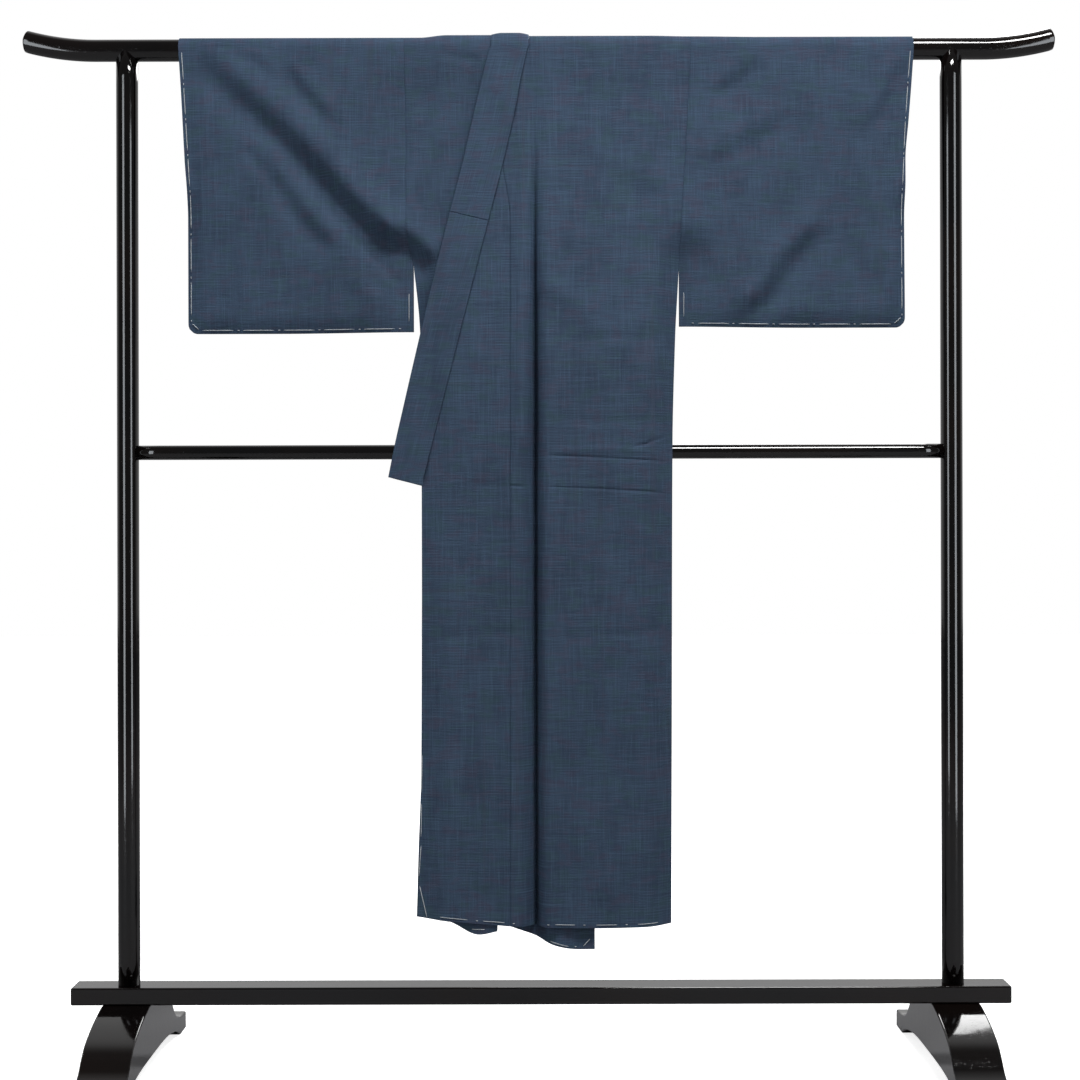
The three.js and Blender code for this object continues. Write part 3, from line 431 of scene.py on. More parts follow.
def over_rail_rows(front_hem, back_hem, extra=()):
    """0 to 1 up the front, 1 to 2 over the rail, 2 to 3 down the back"""
    front = edge_spaced(RAIL_HEIGHT - front_hem, FINE, both=False)
    arc = np.linspace(1, 2, ARC_STEPS + 1)[1:]
    back = 3 - edge_spaced(RAIL_HEIGHT - back_hem, COARSE, both=False)[::-1][1:]
    added = [2 + (RAIL_HEIGHT - z) / (RAIL_HEIGHT - back_hem) for z in extra]
    bands = [(np.arange(low, high, CREASE_STEP) - front_hem) / (RAIL_HEIGHT - front_hem)
             for high, low in CREASED if low > front_hem + 0.5]
    return np.unique(np.concatenate([front, arc, back, added, *bands]).round(6))


def row_height(v, front_hem, back_hem):
    front = mix(front_hem, RAIL_HEIGHT, np.minimum(v, 1))
    back = mix(RAIL_HEIGHT, back_hem, np.maximum(v - 2, 0))
    return np.where(v < 1, front, back)


def over_rail(x, z, v, front, back, middle):
    turn = np.clip(v, 1, 2) - 1
    radius = mix(front, back, turn)
    y = np.where(v < 1, middle - front, np.where(v > 2, middle + back, -radius * np.cos(turn * math.pi)))
    over = (v >= 1) & (v <= 2)
    return np.stack([x, y, np.where(over, RAIL_HEIGHT + radius * np.sin(turn * math.pi), z)], -1)


def run_lengths(points, axis):
    """Length along the grid's rows or columns, from 0 at the first"""
    gaps = np.linalg.norm(np.diff(points, axis=axis), axis=-1)
    start = np.zeros_like(np.take(gaps, [0], axis=axis))
    return np.concatenate([start, np.cumsum(gaps, axis=axis)], axis=axis)


def add_object(name, data):
    added = bpy.data.objects.new(name, data)
    bpy.context.scene.collection.objects.link(added)
    return added


def new_piece(name, points, faces, smooth_caps=False):
    """Four-sided faces are shaded smooth, caps only where asked"""
    mesh = bpy.data.meshes.new(name)
    mesh.from_pydata(points, [], faces)
    mesh.polygons.foreach_set("use_smooth", [smooth_caps or len(face) == 4 for face in faces])
    mesh.update()
    return add_object(name, mesh)


def quads(index, beside):
    """Faces between each row of point numbers and the next"""
    return np.stack([each.ravel() for each in (index[:-1], beside[:-1], beside[1:], index[1:])], 1)


def shell(name, middle, thickness, across=None):
    """A closed thin shell around a grid of points (rows up, columns across), with rounded edges"""
    rows, columns = middle.shape[:2]
    normal = np.cross(np.gradient(middle, axis=1), np.gradient(middle, axis=0))
    normal /= np.maximum(np.linalg.norm(normal, axis=-1, keepdims=True), 1e-12)
    along_u = run_lengths(middle, 1)
    along_v = run_lengths(middle, 0)
    inside = np.minimum.reduce([along_u, along_u[:, -1:] - along_u, along_v, along_v[-1:] - along_v])
    round_in = 1 - clamp(inside / (thickness * 0.5))
    half = thickness / 2 * np.maximum(np.sqrt(1 - round_in ** 2), THINNEST_SHARE)
    offset = normal * half[..., None]
    points = np.concatenate([(middle + offset).reshape(-1, 3), (middle - offset).reshape(-1, 3)])
    shift = rows * columns
    index = np.arange(shift).reshape(rows, columns)
    outside = quads(index[:, :-1], index[:, 1:])
    faces = [outside, outside[:, ::-1] + shift]
    border = np.concatenate([index[0, :], index[1:, -1], index[-1, -2::-1], index[-2::-1, 0]])
    faces.append(np.stack([border[1:], border[:-1], border[:-1] + shift, border[1:] + shift], 1))
    x = middle[..., 0] if across is None else across
    height = middle[..., 2]
    crown = int(np.argmax(height.mean(axis=1)))
    run = along_v.mean(axis=1, keepdims=True)
    length = np.where(np.arange(rows)[:, None] <= crown, height, height[crown] + run - run[crown])
    seed = sum(map(ord, name)) % 17 * 0.37
    at = np.stack([x, length, np.full_like(x, seed)], -1).reshape(-1, 3)
    piece = new_piece(name, points.tolist(), np.concatenate(faces).tolist())
    places = piece.data.attributes.new("cloth_at", "FLOAT_VECTOR", "POINT")
    places.data.foreach_set("vector", np.concatenate([at, at]).astype(np.float32).ravel())
    return piece


# The garment's pieces


def body_edge(side, z, v):
    """x where a body panel ends: at the okumi and the collar in front, at the centre seam behind"""
    gap = OUTWARD[side] * SEAM_GAP
    collar = COLLARS[side]
    at_okumi = at_height(OKUMI_SEAMS, z, side) + gap / 2
    at_collar = at_height(collar, z, "seam") + gap
    centre = mix(collar["seam"][0] + gap, CENTRE_BACK_X + gap / 2, below(NECK_LINE, 0.006, z))
    return np.where(v >= 1, centre, np.where(z < KENSAKI, at_okumi, at_collar))


def right_section(u, z, inner_edge):
    """The panel's section with its knife pleat: x and the layer at u from 0 to 5"""
    turn = LAYER_STEP / 2
    side = at_height(SIDE_SEAMS, z, "right")
    bend = np.mod(u, 1) * math.pi
    outer, inner = PLEAT_FOLD_X - turn, PLEAT_INNER_X + turn
    parts = [u <= 1, u < 2, u <= 3, u < 4]
    x = np.select(parts, [mix(side, outer, u), outer + turn * np.sin(bend), mix(outer, inner, u - 2),
                          inner - turn * np.sin(bend)], mix(inner, inner_edge, u - 4))
    half_turn = 0.5 * np.cos(bend)
    layer = np.select(parts, [2.0 + 0 * u, 1.5 + half_turn, 1.0 + 0 * u, 0.5 + half_turn], 0.0)
    return x, layer


def make_body_right():
    columns = np.concatenate([
        edge_spaced(0.124, FINE, both=False), 1 + np.linspace(0, 1, 8)[1:-1], 2 + np.linspace(0, 1, 10),
        3 + np.linspace(0, 1, 8)[1:-1], 5 - edge_spaced(0.072, 0.006, both=False)[::-1]])
    rows = over_rail_rows(PLEAT_HIDDEN_HEM, BACK_HEM, NECK_ROWS)
    u, v = np.meshgrid(columns, rows)
    nominal = row_height(v, PLEAT_HIDDEN_HEM, BACK_HEM)
    x, layer = right_section(u, nominal, body_edge("right", nominal, v))
    shown = smooth(layer - 1)
    z = row_height(v, mix(PLEAT_HIDDEN_HEM, hem_at(RIGHT_HEM, x), shown), BACK_HEM)
    edge = body_edge("right", z, v)
    x, layer = right_section(u, z, edge)
    at_side = x - at_height(SIDE_SEAMS, z, "right")
    dip = seam_dip(np.where(u < 2, at_side, 1.0), np.where(u > 4, edge - x, 1.0)) * below_rail(z)
    front = close_at_side(right_front_depth(x, z, layer) - dip, x, z, "right")
    back = close_at_side(back_depth(x, z, layer) - side_drop(x, layer) - dip, x, z, "right")
    across = run_lengths(np.stack([x, 0 * x, LAYER_STEP * layer], -1), 1)
    return shell("cloth_body_right", over_rail(x, z, v, front, back, body_middle(z)), CLOTH, across)


def make_body_left():
    rows = over_rail_rows(LEFT_HEM[1][3], BACK_HEM, NECK_ROWS)
    columns = np.concatenate([
        edge_spaced(0.040, 0.0036, both=False), 1 + np.linspace(0, 1, VALLEY_COLUMNS)[1:-1],
        3 - edge_spaced(0.205, FINE, both=False)[::-1]])
    u, v = np.meshgrid(columns, rows)

    def section_at(z):
        edge = body_edge("left", z, v)
        zone_start = np.maximum(VALLEY_X - VALLEY_ZONE, edge + 0.002)
        side = at_height(SIDE_SEAMS, z, "left")
        zone_end = VALLEY_X + VALLEY_ZONE
        outer = mix(zone_end, side, u - 2)
        inner = np.where(u <= 1, mix(edge, zone_start, u), mix(zone_start, zone_end, u - 1))
        return edge, side, np.where(u <= 2, inner, outer)

    x = section_at(row_height(v, LEFT_HEM[1][3], BACK_HEM))[2]
    z = row_height(v, hem_at(LEFT_HEM, x), BACK_HEM)
    edge, side, x = section_at(z)
    dip = seam_dip(x - edge, side - x) * below_rail(z)
    front = close_at_side(left_front_depth(x, z) - dip, x, z, "left")
    back = close_at_side(back_depth(x, z, 0) - dip, x, z, "left")
    return shell("cloth_body_left", over_rail(x, z, v, front, back, body_middle(z)), CLOTH)


def make_okumi(side):
    """Overlap panel from the okumi seam to the front edge and the collar"""
    left = side == "left"
    collar_ends = COLLAR_END - 0.006
    least = 0.0012
    hem, base = (LEFT_HEM, LEFT_HEM[1][1]) if left else (RIGHT_OKUMI_HEM, RIGHT_OKUMI_HEM[1][2])
    to_seam = OUTWARD[side]

    def across_at(u, z):
        seam = at_height(OKUMI_SEAMS, z, side) - to_seam * SEAM_GAP / 2
        collar = at_height(COLLARS[side], z, "seam") + to_seam * SEAM_GAP
        edge = np.where(z > collar_ends, collar, at_height(FRONT_EDGES, z, side))
        edge = np.minimum(edge, seam - least) if left else np.maximum(edge, seam + least)
        x = mix(edge, seam, u if left else 1 - u)
        return x, np.abs(x - seam), np.abs(x - edge)

    u, v = np.meshgrid(edge_spaced(0.150, FINE), edge_spaced(KENSAKI - base, FINE))
    nominal = mix(base, KENSAKI, v)
    z = mix(hem_at(hem, across_at(u, nominal)[0]), KENSAKI, v)
    x, from_seam, from_edge = across_at(u, z)
    by_collar = np.where(z > collar_ends, from_edge, 1.0)
    depth = left_front_depth(x, z) if left else right_front_depth(x, z, 0)
    depth = depth - seam_dip(from_seam, by_collar)
    return shell(f"cloth_okumi_{side}", np.stack([x, body_middle(z) - depth, z], -1), CLOTH)


def sleeve_point(side, x, z, outward):
    """y of the sleeve's middle surface, on its front for outward -1, on its back for 1"""
    to_outer = OUTWARD[side]
    bottom = SLEEVE_BOTTOM[side]
    held = np.maximum(z, ARMHOLE_BOTTOM)
    inner = at_height(SIDE_SEAMS, held, side) + to_outer * SEAM_GAP
    from_inner = np.abs(x - inner)
    from_outer = np.abs(at_height(SLEEVE_EDGES, z, side) - x)
    own = mix(ON_RAIL, SLEEVE_DEPTH, below(1.680, 0.380, z))
    if outward < 0:
        folds = SLEEVE_LEFT_FOLDS if side == "left" else SLEEVE_RIGHT_FOLDS
        opening = left_front_depth(inner, z) if side == "left" else right_front_depth(inner, z, 2)
    else:
        folds = BACK_FOLDS
        opening = back_depth(inner, z, 0)
    waves = 1.5 * unevenness(x, z, 4.0 + outward) * below_rail(z)
    own_from, folds_from, swing_until, edge_round, bottom_round = 0.090, 0.040, 0.220, 0.030, 0.034
    joined = mix(mix(opening, SEWN_DEPTH, side_closed(held)), own + waves, smooth(from_inner / own_from))
    joined = joined + relief(folds, x, z) * smooth(from_inner / folds_from)
    joined = joined - seam_dip(from_inner) * below_rail(z) * (1 - side_closed(held))
    outer = mix(1, rounded(from_outer / edge_round), below(CUFF_BOTTOM + edge_round, 2 * edge_round, z))
    inward = mix(1, rounded(from_inner / edge_round), below(ARMHOLE_BOTTOM, edge_round, z))
    shut = rounded((z - bottom) / bottom_round) * outer * inward
    depth = SIDE_EDGE + (np.maximum(joined, SEWN_DEPTH) - SIDE_EDGE) * shut
    hang = body_middle(held) * (1 - smooth(from_inner / swing_until))
    return hang + outward * depth


def sleeve_outer_x(side, z):
    up = np.minimum(z - SLEEVE_BOTTOM[side], SLEEVE_CORNER)
    inset = SLEEVE_CORNER - np.sqrt(np.maximum(SLEEVE_CORNER ** 2 - (SLEEVE_CORNER - up) ** 2, 0))
    return at_height(SLEEVE_EDGES, z, side) - OUTWARD[side] * inset


def make_sleeve(side):
    to_outer = OUTWARD[side]
    bottom = SLEEVE_BOTTOM[side]
    u, v = np.meshgrid(edge_spaced(0.375, FINE), over_rail_rows(bottom, bottom))
    z = row_height(v, bottom, bottom)
    inner = at_height(SIDE_SEAMS, np.maximum(z, ARMHOLE_BOTTOM), side) + to_outer * SEAM_GAP / 4
    outer = sleeve_outer_x(side, z)
    x = mix(inner, outer, u) if side == "left" else mix(outer, inner, u)
    extra = (LAYER_STEP if side == "left" else 0) * (1 - smooth(np.abs(x - inner) / 0.120))
    points = over_rail(x, z, v, ON_RAIL + extra, ON_RAIL, 0.0)
    y = np.where(v < 1, sleeve_point(side, x, z, -1), sleeve_point(side, x, z, 1))
    points[..., 1] = np.where((v < 1) | (v > 2), y, points[..., 1])
    return shell(f"cloth_sleeve_{side}", points, CLOTH)


def collar_run(side, u, z):
    """The collar on its front: from its free edge to its seam, on top or underneath"""
    edges = [at_height(COLLARS[side], z, column) for column in ("free", "seam")]
    x = mix(*edges[::OUTWARD[side]], u)
    if side == "left":
        depth = left_front_depth(np.maximum(x, LEVEL_FROM_X), z) - neck_ease(z) + COLLAR_OUT
    else:
        depth = right_front_depth(x, z, 0) + (COLLAR_WALL - WALL) / 2
    return x, body_middle(z) - depth, z


def make_collar(side):
    """Lower run of the collar, below the over-collar"""
    length = OVER_COLLAR_END - SEAM_GAP - COLLAR_END
    u, v = np.meshgrid(edge_spaced(COLLAR_WIDTH, COLLAR_STEP), edge_spaced(length, FINE))
    z = COLLAR_END + length * v + COLLAR_TILT * (0.5 - u) * OUTWARD[side]
    points = np.stack(collar_run(side, u, z), -1)
    return shell(f"cloth_collar_{side}", points, COLLAR_CLOTH, COLLAR_WIDTH * u)


def make_over_collar():
    """The neck run: up the front, over the rail, round its own fold behind, back over and down inside"""
    outer = ON_RAIL + 2 * LAYER_STEP + COLLAR_OUT
    inner = ON_RAIL + (COLLAR_WALL - WALL) / 2
    turn = (outer - inner) / 2
    leg = edge_spaced(RAIL_HEIGHT - OVER_COLLAR_END, FINE, both=False)
    turns = [np.linspace(at, at + 1, count) for at, count in ((1, 25), (2, 14), (3, 12), (4, 14), (5, 25))]
    rows = np.unique(np.concatenate([leg, *turns, 7 - leg]))
    u, v = np.meshgrid(edge_spaced(COLLAR_WIDTH, COLLAR_STEP), rows)
    first = clamp(v)
    z_up = mix(OVER_COLLAR_END, RAIL_HEIGHT, first) + COLLAR_TILT * (0.5 - u) * smooth((1 - first) * 2)
    x_up, y_up, z_up = collar_run("left", u, z_up)
    last = clamp(v - 6)
    z_down = mix(RAIL_HEIGHT, OVER_COLLAR_END, last) + COLLAR_TILT * (u - 0.5) * smooth(last * 2)
    x_down, y_down, z_down = collar_run("right", u, z_down)
    free = mix(COLLARS["left"]["free"][0], COLLARS["right"]["seam"][0], smooth(v - 2))
    x_over = mix(free, COLLARS["left"]["seam"][0], u)
    out_angle, turn_angle, from_in = [clamp(v - start) * math.pi for start in (1, 3, 5)]
    in_angle = math.pi - from_in
    parts = [v < 1, v <= 2, v <= 3, v <= 4, v <= 5, v <= 6]
    x = np.where(v < 1, x_up, np.where(v <= 6, x_over, x_down))
    low = 0.0032 * (1 - rounded(np.minimum(u, 1 - u) / 0.30))
    mound = outer - low * np.sin(out_angle)
    y = np.select(parts, [
        y_up, -mound * np.cos(out_angle), outer + 0 * v, inner + turn + turn * np.cos(turn_angle),
        inner + 0 * v, -inner * np.cos(in_angle)], y_down)
    z = np.select(parts, [
        z_up, RAIL_HEIGHT + mound * np.sin(out_angle), mix(RAIL_HEIGHT, LOOP_BOTTOM, v - 2),
        LOOP_BOTTOM - turn * np.sin(turn_angle), mix(LOOP_BOTTOM, RAIL_HEIGHT, v - 4),
        RAIL_HEIGHT + inner * np.sin(in_angle)], z_down)
    return shell("cloth_over_collar", np.stack([x, y, z], -1), COLLAR_CLOTH, COLLAR_WIDTH * u)


# Stand


def swept(name, *tubes):
    """Closed tubes, each through rings of points (rings, sides, 3)"""
    points, faces = [], []
    for rings in tubes:
        count, sides = rings.shape[:2]
        index = len(points) + np.arange(count * sides).reshape(count, sides)
        faces += quads(index, np.roll(index, -1, axis=1)).tolist()
        faces += [index[0, ::-1].tolist(), index[-1].tolist()]
        points += rings.reshape(-1, 3).tolist()
    return new_piece(name, points, faces)


ROUND_SIDES = 72
RING_ANGLES = np.arange(ROUND_SIDES) * 2 * math.pi / ROUND_SIDES


def make_top_rail():
    """Straight between its ends, which sweep gently up, with rounded tips"""
    tip_round = 0.003
    bend = RAIL_HALF_LENGTH - RAIL_BEND_START
    side = np.linspace(RAIL_BEND_START, RAIL_HALF_LENGTH - tip_round, 18)
    corner = np.linspace(0, math.pi / 2, 7)[1:]
    outer = np.concatenate([side, RAIL_HALF_LENGTH - tip_round * (1 - np.sin(corner)), [RAIL_HALF_LENGTH]])
    radius = np.concatenate([np.full(18, RAIL_RADIUS), RAIL_RADIUS - tip_round * (1 - np.cos(corner)),
                             [RAIL_RADIUS - 1.6 * tip_round]])
    straight = np.linspace(-RAIL_BEND_START, RAIL_BEND_START, 40)[1:-1]
    stations = np.concatenate([-outer[::-1], straight, outer])[:, None]
    radii = np.concatenate([radius[::-1], 0 * straight + RAIL_RADIUS, radius])[:, None]
    bent = clamp((np.abs(stations) - RAIL_BEND_START) / bend)
    rise = RAIL_TIP_RISE * bent ** 2
    tilt = np.arctan(2 * RAIL_TIP_RISE * bent / bend * np.sign(stations))
    up = radii * np.sin(RING_ANGLES)
    x = np.clip(stations - up * np.sin(tilt), -RAIL_HALF_LENGTH, RAIL_HALF_LENGTH)
    z = RAIL_HEIGHT + rise + up * np.cos(tilt)
    return swept("rail_top", np.stack([x, -radii * np.cos(RING_ANGLES), z], -1))


def make_middle_rail():
    y = -MIDDLE_RAIL_RADIUS * np.cos(RING_ANGLES)
    z = MIDDLE_RAIL_HEIGHT + MIDDLE_RAIL_RADIUS * np.sin(RING_ANGLES)
    reach = POST_X - np.sqrt((POST_RADIUS + JOINT_GAP) ** 2 - y ** 2)
    rings = [np.stack([share * reach, y, z], -1) for share in np.linspace(-1, 1, 40)]
    return swept("rail_middle", np.array(rings))


def make_post(side, centre):
    """Its top is hollowed to seat the rail"""
    x = centre + POST_RADIUS * np.cos(RING_ANGLES)
    y = POST_RADIUS * np.sin(RING_ANGLES)
    top = RAIL_HEIGHT - np.sqrt(np.maximum((RAIL_RADIUS + JOINT_GAP) ** 2 - y ** 2, 0))
    rings = [np.stack([x, y, mix(BEAM_TOP + JOINT_GAP, top, share)], -1) for share in np.linspace(0, 1, 40)]
    return swept(f"post_{side}_smooth", np.array(rings))


def bevelled(piece):
    modifier = piece.modifiers.new("edges", "BEVEL")
    modifier.width = EDGE_BEVEL
    modifier.segments = 4
    modifier.limit_method = "ANGLE"
    modifier.angle_limit = math.radians(40)
    modifier.harden_normals = True
    return piece


def prism(name, outline, x_low, x_high):
    """An outline of (y, z) points drawn out along X"""
    count = len(outline)
    points = [(x, y, z) for x in (x_low, x_high) for y, z in outline]
    faces = [list(range(count))[::-1], list(range(count, 2 * count))]
    faces += [[i, (i + 1) % count, count + (i + 1) % count, count + i] for i in range(count)]
    return new_piece(name, points, faces, smooth_caps=True)


def make_beam():
    half = BEAM_DEPTH / 2
    outline = [(-half, BEAM_BOTTOM), (half, BEAM_BOTTOM), (half, BEAM_TOP), (-half, BEAM_TOP)]
    return bevelled(prism("beam", outline, -BEAM_LENGTH / 2, BEAM_LENGTH / 2))


def make_foot(side, centre):
    """Low toes, an arch between the pads, and a back that stays full beside the beam"""
    top = BEAM_BOTTOM - JOINT_GAP
    pad = FOOT_REACH - FOOT_PAD_LENGTH
    back = smooth_path([(FOOT_REACH, FOOT_TOE_HEIGHT), *FOOT_BACK[::-1], (FOOT_SEAT, top)]).tolist()
    arch = smooth_path([(pad, 0.0), *FOOT_ARCH, *((-y, z) for y, z in FOOT_ARCH[::-1]), (-pad, 0.0)])
    front = [(-y, z) for y, z in back[::-1]]
    outline = [(-FOOT_REACH, 0.0), *arch[::-1].tolist(), (FOOT_REACH, 0.0), *back, *front]
    piece = prism(f"foot_{side}_smooth", outline, centre - FOOT_WIDTH / 2, centre + FOOT_WIDTH / 2)
    return bevelled(piece)


# Basting: one long stitch, then a dot, beside the garment's edges

THREAD_RADIUS = 0.00065
STITCH_LENGTH = 0.054
STITCH_PERIOD = 0.070
STITCH_START = 0.004
DOT_LENGTH = 0.0035
DOT_SHARE = 0.87


def stitch_rings(surface, start, end, outward):
    """A short thread tube that lies on the cloth from start to end and dips in at both ends"""
    sides = 6
    share = np.linspace(0, 1, 9)
    x = mix(start[0], end[0], share)
    z = mix(start[1], end[1], share)
    lift = 0.0011 * rounded(np.minimum(share, 1 - share) * 6) - 0.0003
    centre = np.stack([x, surface(x, z) + outward * lift, z], -1)
    along = np.array([end[0] - start[0], 0, end[1] - start[1]])
    along /= np.linalg.norm(along)
    across = np.cross(along, (0, 1, 0))
    angle = np.arange(sides) * 2 * math.pi / sides
    radius = THREAD_RADIUS * mix(0.5, 1.0, rounded(np.minimum(share, 1 - share) * 8))[:, None, None]
    ring = np.cos(angle)[:, None] * across + np.sin(angle)[:, None] * np.array([0, outward, 0])
    return centre[:, None, :] + radius * ring[None]


def basted_line(surface, points, outward):
    """Stitches along the straight runs between points (x, z): one long, then a dot, and so on"""
    rings = []
    path = np.array(points, float)
    for a, b in zip(path[:-1], path[1:]):
        length = np.linalg.norm(b - a)
        count = max(1, round(length / STITCH_PERIOD))
        period = length / count
        spans = []
        for begin in np.arange(count) * period + STITCH_START:
            dot = begin + period * DOT_SHARE
            spans.append((begin, begin + STITCH_LENGTH * period / STITCH_PERIOD))
            if dot + DOT_LENGTH < length:
                spans.append((dot, dot + DOT_LENGTH))
        if length < STITCH_PERIOD:
            spans = [(0.12 * length, 0.88 * length)]
        for begin, end in spans:
            rings.append(stitch_rings(surface, mix(a, b, begin / length), mix(a, b, end / length), outward))
    return rings


def baste_sleeve(side):
    """Down the outer edge, across the rounded corner, along the bottom and up the inner edge"""
    to_outer = OUTWARD[side]
    inset, inner_inset, corner_in, corner_up = 0.0055, 0.008, 0.014, 0.018
    bottom = SLEEVE_BOTTOM[side]
    inner = float(at_height(SIDE_SEAMS, ARMHOLE_BOTTOM, side)) + to_outer * inner_inset
    edge = [(float(at_height(SLEEVE_EDGES, z, side)) - to_outer * inset, z)
            for z in (RAIL_HEIGHT - 0.004, 1.577, 1.459, bottom + corner_up)]
    low = (edge[-1][0] - to_outer * corner_in, bottom + inset)
    rings = []
    for outward in (-1, 1):
        def surface(x, z, outward=outward):
            return sleeve_point(side, x, z, outward) + outward * CLOTH / 2
        rings += basted_line(surface, [*edge, low, (inner + to_outer * 0.012, bottom + inset)], outward)
        rings += basted_line(surface, [(inner, bottom + 0.010), (inner, ARMHOLE_BOTTOM - 0.034)], outward)
    return swept(f"basting_sleeve_{side}", *rings)


def baste_fronts():
    """Along the hem and up the front edge, and on the lower edges of the under layers"""
    inset = 0.0055

    def over(x, z):
        return body_middle(z) - close_at_side(left_front_depth(x, z), x, z, "left") - CLOTH / 2

    def under(x, z):
        return body_middle(z) - right_front_depth(x, z, 0) - CLOTH / 2

    def pleat(x, z):
        return body_middle(z) - close_at_side(right_front_depth(x, z, 2), x, z, "right") - CLOTH / 2

    def hem_line(hem, *xs):
        return [(x, float(hem_at(hem, x)) + inset) for x in xs]

    rings = []
    for begin, end in ((-0.172, -0.112), (-0.100, -0.053), (0.017, 0.061), (0.084, 0.130), (0.152, 0.197)):
        rings += basted_line(over, hem_line(LEFT_HEM, begin, end), -1)
    for dot in (-0.106, -0.046, 0.010, 0.069, 0.138):
        rings.append(stitch_rings(over, *hem_line(LEFT_HEM, dot, dot + DOT_LENGTH), -1))
    edge = ((-0.1935, 0.532, -0.1945, 0.470), (-0.1945, 0.452, -0.1955, 0.398),
            (-0.1955, 0.384, -0.1990, 0.334), (-0.1980, 0.318, -0.1860, 0.267))
    under_hem = ((0.015, 0.2265, 0.045, 0.2185), (0.055, 0.218, 0.058, 0.218), (0.069, 0.218, 0.080, 0.230))
    for surface, stitches in ((over, edge), (under, under_hem), (pleat, ((-0.113, 0.2475, -0.092, 0.248),))):
        rings += [stitch_rings(surface, each[:2], each[2:], -1) for each in stitches]
    return swept("basting_fronts", *rings)


# Materials


def new_material(name):
    material = bpy.data.materials.new(name)
    material.use_nodes = True
    tree = material.node_tree
    return material, Graph(tree), tree.nodes["Principled BSDF"]


class Graph:
    """Short names for the node types that the materials use"""

    def __init__(self, tree):
        self.tree = tree

    def link(self, source, target):
        self.tree.links.new(source, target)

    def add(self, kind, output=0, given=None, **settings):
        """A node whose inputs are linked or set by name or number; returns one of its outputs"""
        node = self.tree.nodes.new(kind)
        for key, value in settings.items():
            setattr(node, key, value)
        for key, value in (given or {}).items():
            if isinstance(value, bpy.types.NodeSocket):
                self.link(value, node.inputs[key])
            else:
                node.inputs[key].default_value = value
        return node.outputs[output]

    def math(self, operation, a, b=0.5):
        return self.add("ShaderNodeMath", 0, {0: a, 1: b}, operation=operation)

    def stretch(self, vector, x, y, z=1.0):
        return self.add("ShaderNodeVectorMath", 0, {0: vector, 1: (x, y, z)}, operation="MULTIPLY")

    def part(self, vector, axis):
        return self.add("ShaderNodeSeparateXYZ", axis, {0: vector})

    def noise(self, vector, scale=1.0, detail=2.0, roughness=0.5):
        return self.add("ShaderNodeTexNoise", "Fac", {"Vector": vector, "Scale": scale, "Detail": detail,
                                                      "Roughness": roughness})

    def span(self, value, low, high, to_low=0.0, to_high=1.0):
        return self.add("ShaderNodeMapRange", "Result",
                        {"Value": value, "From Min": low, "From Max": high, "To Min": to_low,
                         "To Max": to_high}, interpolation_type="SMOOTHSTEP")

    def blend(self, factor, a, b):
        return self.add("ShaderNodeMix", "Result", {"Factor": factor, "A": a, "B": b}, data_type="RGBA")

    def bump(self, height, distance, normal=None, strength=1.0):
        below_it = {} if normal is None else {"Normal": normal}
        return self.add("ShaderNodeBump", "Normal",
                        {"Strength": strength, "Distance": distance, "Height": height, **below_it})


def rgb(red, green, blue):
    """Linear colour from 8-bit screen values"""
    def linear(value):
        share = value / 255
        return share / 12.92 if share <= 0.04045 else ((share + 0.055) / 1.055) ** 2.4
    return (linear(red), linear(green), linear(blue), 1.0)


DYE_BASE = rgb(50, 67, 88)
DYE_DARK = rgb(36, 49, 68)
DYE_LIGHT = rgb(67, 88, 111)
DYE_GREEN = rgb(45, 68, 77)
DYE_PURPLE = rgb(60, 60, 80)
DYE_BROWN = rgb(58, 60, 76)
DASH_PITCH = 0.0046
THREAD_PITCH = 0.00062


